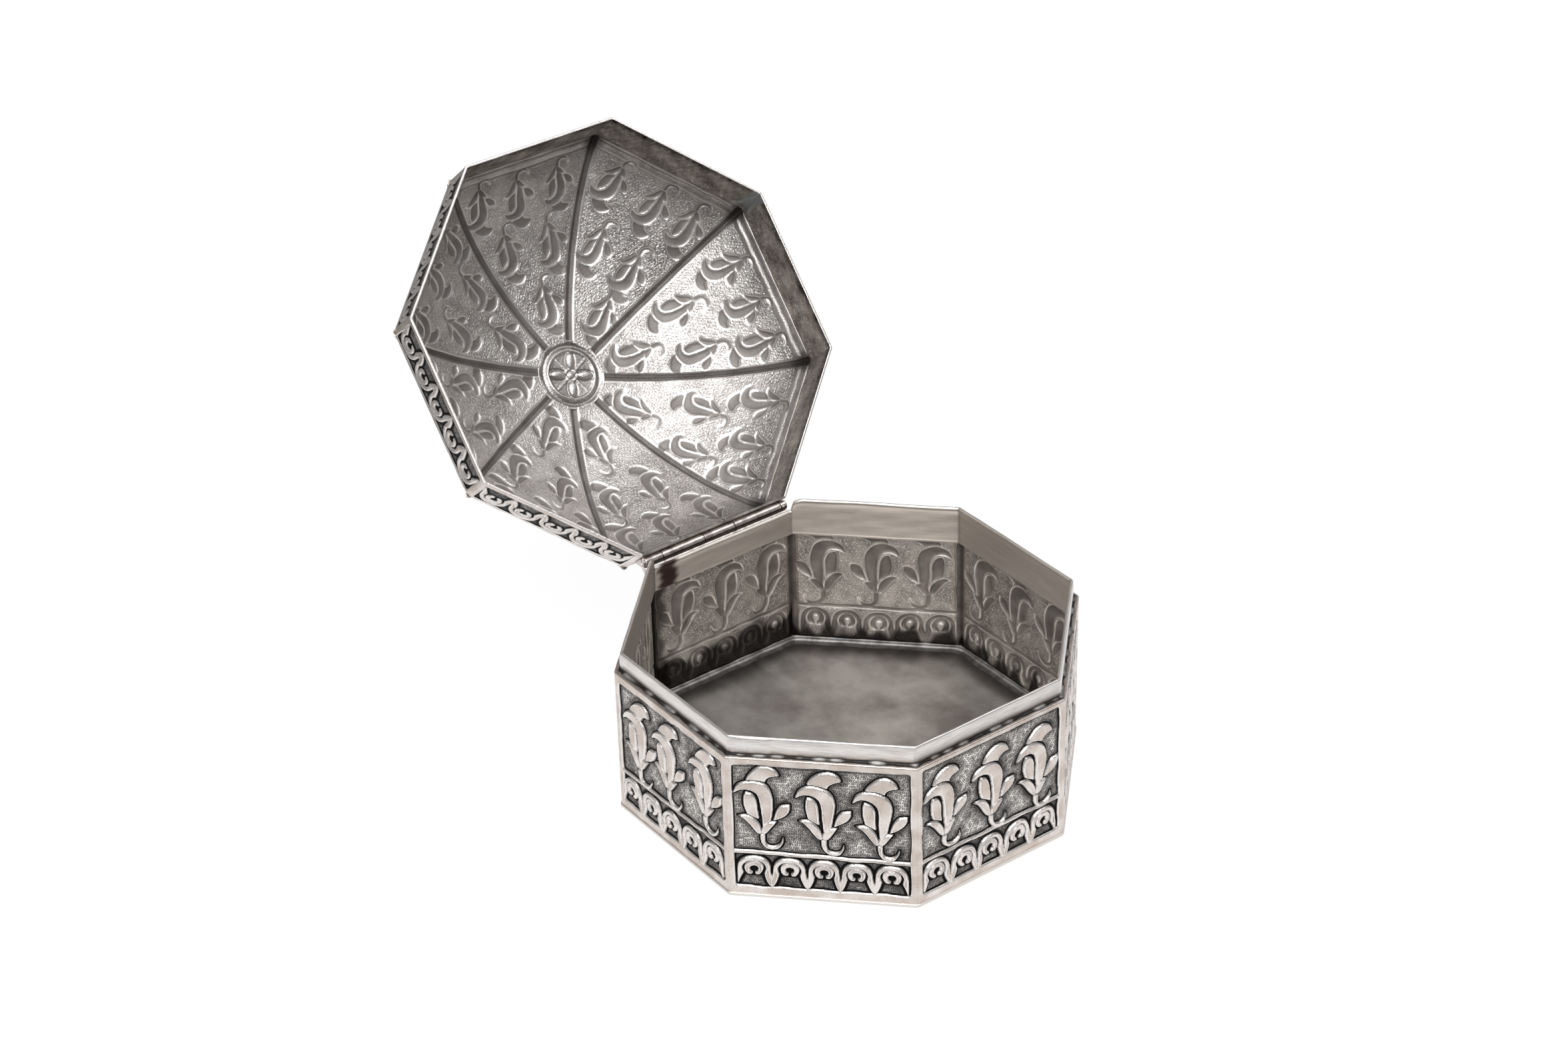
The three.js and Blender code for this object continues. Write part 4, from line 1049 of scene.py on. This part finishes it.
# Hinge bearers
# Two filed silver bars, one soldered to the back of the wall and one to the lid's rim. Each
# cradles its own knuckles, and their outer flanks meet to stop the lid when it is open.
HINGE = frame["joints"][0]
AXIS_Y, AXIS_Z = HINGE["pos_m"][1] / MM, HINGE["pos_m"][2] / MM
OPEN_ANGLE = math.radians(HINGE["range_deg"][1])
KNUCKLE_RADIUS = 1.4
CRADLE_RADIUS = 1.5
BEARER_REACH = 1.2
BEARER_HEIGHT = 3.6
BODY_STOP_ANGLE, BODY_CRADLE_END = 300, 236
LID_STOP_ANGLE, LID_CRADLE_END = 74.2, 140
HINGE_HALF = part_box("hinge_pin")[1][0] / MM
HINGE_BRIGHT = "#DDD6D1"
HINGE_DULL = "#9B918C"
HINGE_SHADE = "#453D39"

# Drawn silver tube and filed bar, polished by handling: smooth, with fine lengthwise scratches,
# and painted shade on the front and under side.
hinge_silver, tree, shader = finish("drawn_silver_tube")
place = add_node(tree, "ShaderNodeTexCoord").outputs["Object"]
along_map = add_node(tree, "ShaderNodeMapping", {"Vector": place, "Scale": (0.08, 1, 1)})
scratch = add_node(tree, "ShaderNodeTexNoise", {"Vector": along_map.outputs[0], "Scale": per_mm(0.3),
                                                "Detail": 3.0})
cloud = add_node(tree, "ShaderNodeTexNoise", {"Vector": place, "Scale": per_mm(2.5), "Detail": 3.0})
dull = add_node(tree, "ShaderNodeMapRange", {"Value": cloud.outputs[0], "From Min": 0.45, "From Max": 0.7})
tone = add_node(tree, "ShaderNodeMix", {0: dull.outputs[0], 6: linear(HINGE_BRIGHT), 7: linear(HINGE_DULL)},
                data_type="RGBA")
under = add_node(tree, "ShaderNodeAttribute", attribute_name="under").outputs["Fac"]
tone = add_node(tree, "ShaderNodeMix", {0: under, 6: tone.outputs[2], 7: linear(HINGE_SHADE)},
                data_type="RGBA")
tree.links.new(tone.outputs[2], shader.inputs["Base Color"])
rough = add_node(tree, "ShaderNodeMapRange", {"Value": scratch.outputs[0], "To Min": 0.16, "To Max": 0.34})
tree.links.new(rough.outputs[0], shader.inputs["Roughness"])


def opened(points):
    """Points of the lid, given where they lie when it is shut, turned back about the hinge's
    axis to its open stop."""
    y, z = points[..., 1] - AXIS_Y, points[..., 2] - AXIS_Z
    c, s = math.cos(OPEN_ANGLE), math.sin(OPEN_ANGLE)
    return np.stack([points[..., 0], AXIS_Y + y * c + z * s, AXIS_Z - y * s + z * c], -1)


def from_axis(distance, angle):
    """(y, z) at a distance and an angle in degrees from the hinge's axis."""
    a = np.radians(angle)
    return np.stack([AXIS_Y + distance * np.cos(a), AXIS_Z + distance * np.sin(a)], -1)


def bar(name, outline, is_lid):
    """An outline of (y, z) points drawn along X, closed by flat ends, its edges bevelled. The
    lid's bar is given shut and turned open."""
    outline = np.asarray(outline)
    points = np.zeros((len(outline), 2, 3))
    points[..., 0], points[..., 1:] = (-HINGE_HALF, HINGE_HALF), outline[:, None, :]
    rows, columns = points.shape[:2]
    if is_lid:
        points = opened(points)
    quads = grid_faces(rows, columns, tube=True)
    made = add_piece(name, points.reshape(-1, 3), [], [quads, *end_caps(rows, columns)])
    bevel = made.modifiers.new("filed_edges", "BEVEL")
    bevel.width, bevel.segments = 0.12 * MM, 2
    made.data.materials.append(hinge_silver)
    return made


body_cradle = from_axis(CRADLE_RADIUS, np.linspace(BODY_STOP_ANGLE, BODY_CRADLE_END, 12))
body_bar = bar("wall_bearer", [(WALL_FACE, AXIS_Z - CRADLE_RADIUS - BEARER_HEIGHT),
                               from_axis(CRADLE_RADIUS + BEARER_REACH, BODY_STOP_ANGLE), *body_cradle,
                               (WALL_FACE + 0.15, WALL_TOP), (WALL_FACE, WALL_TOP)], False)
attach(body_bar, "box_body")
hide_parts("body_hinge_bearer")
lid_cradle = from_axis(CRADLE_RADIUS, np.linspace(LID_CRADLE_END, LID_STOP_ANGLE, 12))
lid_bar = bar("rim_bearer", [(WALL_FACE + 0.1, AXIS_Z + CRADLE_RADIUS + BEARER_HEIGHT),
                             from_axis(CRADLE_RADIUS + BEARER_REACH, LID_STOP_ANGLE), *lid_cradle[::-1],
                             (WALL_FACE + 0.1, lid_cradle[0, 1])], True)
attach(lid_bar, "lid")
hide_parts("lid_hinge_bearer")

# Knuckles and pin
# Five lengths of drawn silver tube on one pin: the first, third and last belong to the body and
# the other two to the lid. Their ends are filed square and lightly rounded.
KNUCKLE_BORE = 0.58
KNUCKLE_END_ROUND = 0.18
KNUCKLE_DENT = 0.012
PIN_RADIUS = 0.5
PIN_END_ROUND = 0.15
PIN_TIP = 0.001


def along_hinge(name, profile, seed):
    """A profile of (radius, x) points, closed on itself, turned about the hinge's axis, with
    slight dents."""
    radius, x = np.asarray(profile).T
    turn = np.linspace(0, 2 * math.pi, 49)[:-1]
    dent = wander(x[:, None], turn[None, :] * 1.2, seed, KNUCKLE_DENT, 4)
    r = radius[:, None] + dent * (radius > 0.55)[:, None]
    y, z = AXIS_Y + r * np.cos(turn), AXIS_Z + r * np.sin(turn)
    points = np.stack(np.broadcast_arrays(x[:, None], y, z), -1)
    degrees = np.degrees(turn)
    # Painted shade on the tube's front and under side.
    under = 0.9 * smooth_step(155, 180, degrees) * smooth_step(285, 260, degrees)
    made = add_piece(name, points.reshape(-1, 3), [grid_faces(*points.shape[:2], ring=True, tube=True)],
                     under=np.broadcast_to(under, points.shape[:2]))
    made.data.materials.append(hinge_silver)
    return made


def knuckle(name, node, body, seed):
    """A tube as long as its node, with rounded outer edges."""
    low, high = (corner[0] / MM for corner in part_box(node))
    turn = np.linspace(0, math.pi / 2, 5)
    edge = KNUCKLE_END_ROUND
    round_r, round_x = KNUCKLE_RADIUS - edge * (1 - np.cos(turn)), edge * (1 - np.sin(turn))
    length = np.linspace(low + edge, high - edge, max(4, int((high - low) / 0.6)))
    right = np.stack([round_r, high - round_x], -1)
    left = np.stack([round_r, low + round_x], -1)[::-1]
    middle = np.stack([np.full(len(length) - 2, KNUCKLE_RADIUS), length[1:-1]], -1)
    bore = [(KNUCKLE_BORE, high - 0.05), (KNUCKLE_BORE, low + 0.05)]
    made = along_hinge(name, np.concatenate([left, middle, right, bore]), seed)
    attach(made, body)
    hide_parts(node)


knuckle("knuckle_1", "body_knuckle_left", "box_body", 41)
knuckle("knuckle_2", "lid_knuckle_left", "lid", 42)
knuckle("knuckle_3", "body_knuckle_middle", "box_body", 43)
knuckle("knuckle_4", "lid_knuckle_right", "lid", 44)
knuckle("knuckle_5", "body_knuckle_right", "box_body", 45)
dome = np.linspace(0, math.pi / 2, 6)[1:]
pin_straight = HINGE_HALF - PIN_END_ROUND
pin_right = np.stack([PIN_RADIUS * np.sin(dome), pin_straight + PIN_END_ROUND * np.cos(dome)], -1)
pin_profile = [(PIN_TIP, -HINGE_HALF), *(pin_right * (1, -1)), *pin_right[::-1], (PIN_TIP, HINGE_HALF)]
pin = along_hinge("pin", pin_profile, 46)
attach(pin, "box_body")
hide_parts("hinge_pin")

# Lid rim
# The upright band of the lid: a strip of 0.7 mm silver folded into eight sides, with the same
# scallops chased on each side, which mark its grimy inside faintly. It shuts down over the bezel,
# and a smear of tin covers one inner corner.
RIM_HEIGHT = 13.0
SEAT_GAP = 0.2
RIM_BOTTOM = WALL_TOP + SEAT_GAP
RIM_TOP = WALL_TOP + RIM_HEIGHT
RIM_THICKNESS = 0.7
RIM_STEP = 0.26
RIM_EDGE_ROUND = 0.2
RIM_GROUND = 0.36
RIM_EDGE_FORM = -0.2
RIM_GRIME = 0.26
RIM_FIELD_HALF = 23.4
RIM_FIELD_LOW, RIM_FIELD_HIGH = 1.6, 12.1
RIM_EYE_HEIGHT = 7.9
RIM_EYES = (-18.9, -9.5, 0, 9.5, 18.9)


def rim_side(side):
    """One side of the rim as a closed shell, with the lid shut and then turned open."""
    rng = np.random.default_rng(600 + side)
    along = panel_columns(WALL_FACE, WALL_CORNER_RADIUS, RIM_STEP)
    edge = RIM_EDGE_ROUND
    up = np.arange(RIM_BOTTOM + edge, RIM_TOP - edge, RIM_STEP)
    x, z = np.meshgrid(along, up)
    hand_x = x + wander(x, z, 700 + side, 0.12, 8)
    hand_z = z - RIM_BOTTOM + wander(x, z, 800 + side, 0.1, 8)
    eyes = np.stack([RIM_EYES + rng.normal(0, 0.15, 5), RIM_EYE_HEIGHT + rng.normal(0, 0.12, 5)], -1)
    field = -box_distance(hand_x, hand_z, -RIM_FIELD_HALF, RIM_FIELD_HALF, RIM_FIELD_LOW, RIM_FIELD_HIGH, 0.6)
    motifs = scallop_distance(hand_x, hand_z, eyes)
    form = np.minimum(field * FRAME_NARROWING, motifs)
    ring = punch_distance(x, z, 900 + side) + smooth_step(*BARE_WIDTH, form) * NO_PUNCH
    chased = chased_height(motifs, ring, RIM_GROUND, 0.12, 0.06, 0.12)
    framed = chased_height(field, ring, RIM_GROUND, 0.08, 0.0, 0.0)
    height = np.where(field * FRAME_NARROWING < motifs, framed, chased)
    form = shaded(form, True, to_eyes(hand_x, hand_z, eyes))
    back = soften(height, 4)[::2] * 0.5 - RIM_THICKNESS
    bend = np.linspace(0, math.pi / 2, 4)[1:, None]
    high_out, high_z = height[-1] - edge * (1 - np.cos(bend)), RIM_TOP - edge + edge * np.sin(bend)
    low_out = (height[0] - edge * (1 - np.cos(bend)))[::-1]
    low_z = (RIM_BOTTOM + edge - edge * np.sin(bend))[::-1]
    flat_high = np.stack([back[-1] + 0.05, back[-1]])
    flat_low = np.stack([back[0], back[0] + 0.05])
    proud = np.concatenate([low_out, height, high_out, flat_high, back[::-1], flat_low])
    high_flat_z = np.array([[RIM_TOP], [RIM_TOP - 0.02]])
    low_flat_z = np.array([[RIM_BOTTOM + 0.02], [RIM_BOTTOM]])
    tall = np.concatenate([low_z + 0 * along, z, high_z + 0 * along, high_flat_z + 0 * along, z[::2][::-1],
                           low_flat_z + 0 * along])
    low_edge, high_edge, low_flat = (np.full((count, len(along)), RIM_EDGE_FORM) for count in (3, 5, 2))
    forms = np.concatenate([low_edge, form, high_edge, form[::2][::-1] + 3, low_flat])
    rings = np.concatenate([low_edge + 2, ring, high_edge + 2, ring[::2][::-1] + 1, low_flat + 2])
    edge_inner = 1.0 if side == BACK_SIDE else 0.0
    inner = np.concatenate([np.full(3, edge_inner), np.zeros(len(z) + 3), np.ones(2 + len(back)),
                            np.full(2, edge_inner)])
    points = opened(on_side(side, along[None, :], proud, tall, WALL_FACE, WALL_CORNER_RADIUS))
    rows, columns = proud.shape
    uneven = wander(along[None, :], tall, 950 + side, 0.15, 10)
    blotch = wander(along[None, :], tall, 960 + side, 0.1, 2.6)
    at_edge = 0.0 if side == BACK_SIDE else 0.5
    grime = RIM_GRIME + uneven + blotch + at_edge * smooth_step(RIM_BOTTOM + 3.2, RIM_BOTTOM + 0.6, tall)
    grime = grime - 0.2 * smooth_step(RIM_TOP - 1.8, RIM_TOP - 0.6, tall)
    toward_corner = {1: 1, 2: -1}.get(side, 0) * along[None, :]
    tinned = smooth_step(21.4, 22.8, toward_corner + 3 * uneven) * smooth_step(RIM_TOP - 1, RIM_TOP - 4, tall)
    return add_piece(f"rim_side_{side}", points.reshape(-1, 3), [grid_faces(rows, columns, tube=True)],
                     end_caps(rows, columns), form=forms, ring=rings, inner=np.repeat(inner, columns),
                     grime=np.clip(grime, 0, 1), tinned=tinned)


for side in range(SIDES):
    rim = rim_side(side)
    rim.data.materials.append(chased_silver)
    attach(rim, "lid")
    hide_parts("lid_rim")

# Lid crown
# Eight gores raised in one sheet of 0.75 mm silver, with mango flowers on a punched ground and a
# rib pressed out along each join. The lid stands open, so it shows the hollow backs of them.
CROWN_REACH = WALL_FACE
CROWN_RISE = 29.0
CROWN_BOTTOM = RIM_TOP + 0.1
CROWN_THICKNESS = 0.75
DOME_WIDTH_POWER = 2.4
DOME_HEIGHT_POWER = 1.18
GORE_STEP = 0.355
GORE_END = 9.3
RIB_HALF_WIDTH = 1.2
RIB_PROUD = 0.55
RIB_CHANNEL_DEPTH = 0.22
GORE_FLOWER_SIZE = 0.73
GORE_FEET = {
    0: ((1.5, 42.5), (-7.5, 24), (7.5, 25), (-15, 7), (-2, 8), (12, 8)),
    1: ((2.5, 43.5), (-8, 25.5), (5, 28), (-12.5, 6), (2, 7), (13.5, 8)),
    2: ((1, 43.2), (-6.6, 25.8), (8, 24.8), (-11.5, 7.5), (1.8, 7.2), (13.2, 7.8)),
    3: ((1.7, 43.4), (-4, 24), (10, 23.7), (-10.8, 6.8), (4, 7), (15.3, 6.2)),
    4: ((2.5, 40.5), (-4.5, 21), (10.5, 21), (-12, 5), (3, 5), (16, 5)),
}
USUAL_GORE_FEET = ((1.2, 42.8), (-7, 24.5), (7.5, 24.5), (-13, 7), (0.8, 7.2), (13, 7.5))
FOOT_LINES = (0.6, 3.4)
LID_INSIDE_HIGHLIGHT = "#F6F2F0"
LID_INSIDE_TONE = "#D0CCC9"
LID_INSIDE_STAIN = "#AFAAA7"


def dome_height(distance):
    """Height of the dome over its foot, a superellipse of the distance to its flat sides."""
    share = np.clip(distance / CROWN_REACH, 0, 1)
    return CROWN_RISE * (1 - share**DOME_WIDTH_POWER) ** (1 / DOME_HEIGHT_POWER)


# The dome's curve by its length from the foot, from 4000 short steps.
curve_reach = CROWN_REACH * np.cos(np.linspace(0, math.pi / 2, 4001))
curve_height = dome_height(curve_reach)
curve_length = np.concatenate([[0], np.cumsum(np.hypot(np.diff(curve_reach), np.diff(curve_height)))])


def dome_at(length):
    """Reach, height and outward normal of the dome's curve at a length from its foot."""
    reach = np.interp(length, curve_length, curve_reach)
    height = np.interp(length, curve_length, curve_height)
    step = 0.2
    before, after = np.clip(length - step, 0, None), length + step
    d_reach = np.interp(after, curve_length, curve_reach) - np.interp(before, curve_length, curve_reach)
    d_height = np.interp(after, curve_length, curve_height) - np.interp(before, curve_length, curve_height)
    size = np.hypot(d_reach, d_height)
    return reach, height, d_height / size, -d_reach / size


def gore_relief(gore, x, length, half):
    """Height of one gore, and its form and ring distances, at x across it and a length up it."""
    rng = np.random.default_rng(1000 + gore)
    feet = np.array(GORE_FEET.get(gore, USUAL_GORE_FEET + rng.normal(0, 0.4, (6, 2))))
    hand_x = x + wander(x, length, 1100 + gore, 0.15, 9)
    hand_z = length + wander(x, length, 1200 + gore, 0.15, 9)
    motifs = np.full(x.shape, FAR_AWAY)
    for foot, lean, size in zip(feet, rng.normal(0, 0.05, 6), rng.normal(1, 0.03, 6)):
        motifs = np.minimum(motifs, flower_distance(hand_x, hand_z, foot, GORE_FLOWER_SIZE * size, lean))
    to_rib = (half - np.abs(x)) * 0.95 + wander(x, length, 1300 + gore, 0.08, 12)
    rib = to_rib - RIB_HALF_WIDTH
    form = np.minimum(motifs, rib)
    ring = punch_distance(x, length, 1400 + gore) + smooth_step(0.6, 0.3, form) * NO_PUNCH
    ring = ring + smooth_step(5.2, 4.2, hand_z) * NO_PUNCH
    height = chased_height(motifs, ring, 0.0, 0.09, 0.4, 0.1)
    across_rib = np.clip(to_rib / RIB_HALF_WIDTH, 0, 1)
    channel = RIB_CHANNEL_DEPTH * np.exp(-((rib - 0.35) / 0.4) ** 2)
    rib_height = RIB_PROUD * np.sqrt(1 - across_rib**2 * 0.999) - channel
    to_line = np.minimum.reduce([np.abs(hand_z - place) for place in FOOT_LINES])
    # Form drops along the foot lines, so that the face shows them as oxide grooves and the back paints them
    # with the raised lines' highlight.
    form = np.where(rib > 0.3, np.minimum(form, 0.2 + 0.6 * to_line), form)
    blend = smooth_step(1.2, 0.2, rib)
    foot_line = -0.4 * np.exp(-((to_line / 0.5) ** 2)) * (1 - blend)
    return height * (1 - blend) + rib_height * blend + foot_line, form, ring


def gore_piece(gore):
    """One gore as a closed shell. A square net lies over the flattened gore; what reaches past a
    rib is drawn onto the rib's line, and faces that vanish there are left out."""
    lengths = np.arange(0, np.interp(-GORE_END, -curve_reach, curve_length), GORE_STEP)
    reach, height, normal_out, normal_up = (v[:, None] for v in dome_at(lengths))
    half = reach * math.tan(HALF_SIDE_ANGLE)
    net = np.arange(-int(half[0, 0] / GORE_STEP) - 1, int(half[0, 0] / GORE_STEP) + 2) * GORE_STEP
    net = np.broadcast_to(net, (len(lengths), len(net)))
    past = np.abs(net) > half - 0.35 * GORE_STEP
    x = np.where(past, np.sign(net) * half, net)
    columns = net.shape[1]
    first = np.argmin(past, axis=1) - 1
    last = columns - np.argmin(past[:, ::-1], axis=1)
    number = np.clip(np.arange(columns), first[:, None], last[:, None])
    number = number + np.arange(len(lengths))[:, None] * columns
    relief, form, ring = gore_relief(gore, x, lengths[:, None] + 0 * x, half)
    backs = soften(relief, 1) - CROWN_THICKNESS
    to_rib = half - np.abs(x)
    # Near a rib the relief stands on the mean of the two gores' slopes, so that they meet there.
    toward = smooth_step(1.8, 0, to_rib)
    cos_half, sin_half = math.cos(HALF_SIDE_ANGLE), math.sin(HALF_SIDE_ANGLE)
    n_across = toward * np.sign(x) * sin_half * normal_out * cos_half
    n_out = normal_out * (1 - toward) + toward * normal_out * cos_half * cos_half
    n_up = normal_up + 0 * x
    size = np.sqrt(n_across**2 + n_out**2 + n_up**2)
    sheets = []
    for proud in (relief, backs):
        across, out = x + proud * n_across / size, reach + proud * n_out / size
        sheets.append(turned_to(gore, across, out, CROWN_BOTTOM + height + proud * n_up / size))
    quads = np.stack([number[:-1, :-1], number[:-1, 1:], number[1:, 1:], number[1:, :-1]], -1).reshape(-1, 4)
    low_gone, high_gone = quads[:, 0] == quads[:, 1], quads[:, 2] == quads[:, 3]
    whole = quads[~low_gone & ~high_gone]
    tip_down, tip_up = quads[low_gone & ~high_gone][:, [0, 2, 3]], quads[high_gone & ~low_gone][:, :3]
    left, right = (np.arange(len(lengths)) * columns + end for end in (first, last))
    foot, head = np.arange(left[0], right[0]), np.arange(right[-1], left[-1], -1)
    rim_loop = np.concatenate([foot, right[:-1], head, left[:0:-1]])
    size_of_sheet = number.size
    after = np.roll(rim_loop, -1)
    walls = np.stack([rim_loop, rim_loop + size_of_sheet, after + size_of_sheet, after], -1)
    smooth = [whole, tip_down, tip_up]
    smooth += [faces[:, ::-1] + size_of_sheet for faces in (whole, tip_down, tip_up)]
    used, renumbered = np.unique(np.concatenate([f.ravel() for f in (*smooth, walls)]), return_inverse=True)
    parts, place = [], 0
    for faces in (*smooth, walls):
        parts.append(renumbered[place:place + faces.size].reshape(faces.shape))
        place += faces.size
    points = np.concatenate([s.reshape(-1, 3) for s in sheets])[used]
    inner = np.repeat([0, 1], size_of_sheet)[used]
    # Painted shade on the back: darker in the rib channels, along the foot and where the ribs end at the
    # foot.
    in_rib = smooth_step(RIB_HALF_WIDTH + 0.1, RIB_HALF_WIDTH - 0.5, to_rib)
    up = lengths[:, None] + 0 * x
    rib_end = smooth_step(9, 3, np.hypot(up, to_rib * 1.8))
    grime = np.maximum(0.3 * in_rib, 0.36 * smooth_step(13, 5, up) + 0.5 * rib_end)
    return add_piece(f"crown_gore_{gore}", opened(points), parts[:-1], parts[-1:],
                     form=np.tile(form.ravel(), 2)[used], ring=np.tile(ring.ravel(), 2)[used], inner=inner,
                     grime=np.tile(grime.ravel(), 2)[used])


# The lid's sheet: as the wall outside, and inside a satin grey, smoother and paler than the
# wall's, with painted shade in its hollows and a painted highlight on its raised lines and bumps.
lid_silver = chased_finish("raised_silver_sheet", LID_INSIDE_HIGHLIGHT, LID_INSIDE_TONE, LID_INSIDE_STAIN,
                           0.33, 0.6)
for gore in range(SIDES):
    crown = gore_piece(gore)
    crown.data.materials.append(lid_silver)
    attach(crown, "lid")
    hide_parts("lid_crown")

# Rosette
# The round middle of the crown, chased in the same sheet, which ends the gores and ribs: a ring
# round four long petals, four thin rays and a small centre.
ROSETTE_REACH = 10.5
ROSETTE_TURN = math.radians(20)
ROSETTE_MARGIN = 0.04
# How dark the rosette's painted shade gets.
ROSETTE_SHADE = 0.42
PETAL_MIDDLE, PETAL_HALF_LENGTH, PETAL_HALF_WIDTH = 4.3, 2.5, 1.45
RAISED_RING_RADIUS, SUNK_RING_RADIUS, BRIGHT_RING_RADIUS = 8.9, 7.4, 7.55


def rosette_relief(radius, angle):
    """Height of the rosette over the dome, and its painted shade, which spares the petals, rays,
    centre and a bright ring as painted highlights. The height has a broad raised ring with a narrow
    sunk one inside it, four hollow petals, four thin rays between them and a round centre."""
    raised = np.exp(-(((radius - RAISED_RING_RADIUS) / 0.8) ** 2))
    sunk = np.exp(-(((radius - SUNK_RING_RADIUS) / 0.45) ** 2))
    turn = (angle - ROSETTE_TURN + math.pi / 4) % (math.pi / 2) - math.pi / 4
    along, aside = radius * np.cos(turn), radius * np.sin(turn)
    outline = 1 - ((along - PETAL_MIDDLE) / PETAL_HALF_LENGTH) ** 2
    inside = np.clip(outline - (aside / PETAL_HALF_WIDTH) ** 2, 0, 1)
    beside = np.exp(-((outline - (aside / PETAL_HALF_WIDTH) ** 2 + 0.25) / 0.3) ** 2)
    ray_turn = (angle - ROSETTE_TURN) % (math.pi / 2) - math.pi / 4
    ray = np.exp(-((radius * np.sin(ray_turn) / 0.28) ** 2))
    ray = ray * smooth_step(2.0, 2.6, radius) * smooth_step(7, 6, radius)
    centre = np.exp(-(((radius - 1.75) / 0.35) ** 2)) + np.exp(-((radius / 0.8) ** 2))
    height = 0.5 * raised - 0.45 * sunk - 0.85 * np.sqrt(inside) + 0.25 * beside - 0.2 * ray - 0.3 * centre
    # Painted highlight: the petals, rays, centre and a ring just outside the sunk one stay light, and the
    # rest of the rosette gets painted shade.
    bright_ring = np.exp(-(((radius - BRIGHT_RING_RADIUS) / 0.5) ** 2))
    light = np.sqrt(inside) + ray + centre + bright_ring
    return height, ROSETTE_SHADE * np.clip(1 - light, 0, 1) * smooth_step(10.3, 9.6, radius)


radius = np.linspace(ROSETTE_REACH, 0.1, 48)
angle = np.linspace(0, 2 * math.pi, 241)[:-1]
r, a = np.meshgrid(radius, angle, indexing="ij")
relief, grime = rosette_relief(r, a)
relief = relief * smooth_step(ROSETTE_REACH, ROSETTE_REACH - 0.6, r)
middle_z = CROWN_BOTTOM + dome_height(r)
outside = np.stack([r * np.cos(a), r * np.sin(a), middle_z + ROSETTE_MARGIN + relief], -1)
inside = np.stack([r * np.cos(a), r * np.sin(a), middle_z - CROWN_THICKNESS - ROSETTE_MARGIN + relief], -1)
poles = np.array([[0, 0, sheet[-1, :, 2].mean()] for sheet in (inside, outside)])
points = np.concatenate([inside[::-1].reshape(-1, 3), outside.reshape(-1, 3), poles])
rows, columns = 2 * len(radius), len(angle)
loop = np.arange(columns)
faces = [grid_faces(rows, columns, ring=True), fan(rows * columns, loop[::-1]),
         fan(rows * columns + 1, (rows - 1) * columns + loop)]
grime = np.concatenate([grime[::-1].ravel(), grime.ravel(), grime[-1, :2]])
rosette = add_piece("rosette", opened(points), faces, form=np.full(len(points), 2.0),
                    ring=np.full(len(points), NO_PUNCH), grime=grime,
                    inner=np.concatenate([np.repeat([1, 0], r.size), [1, 0]]))
rosette.data.materials.append(lid_silver)
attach(rosette, "lid")
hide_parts("lid_crown")
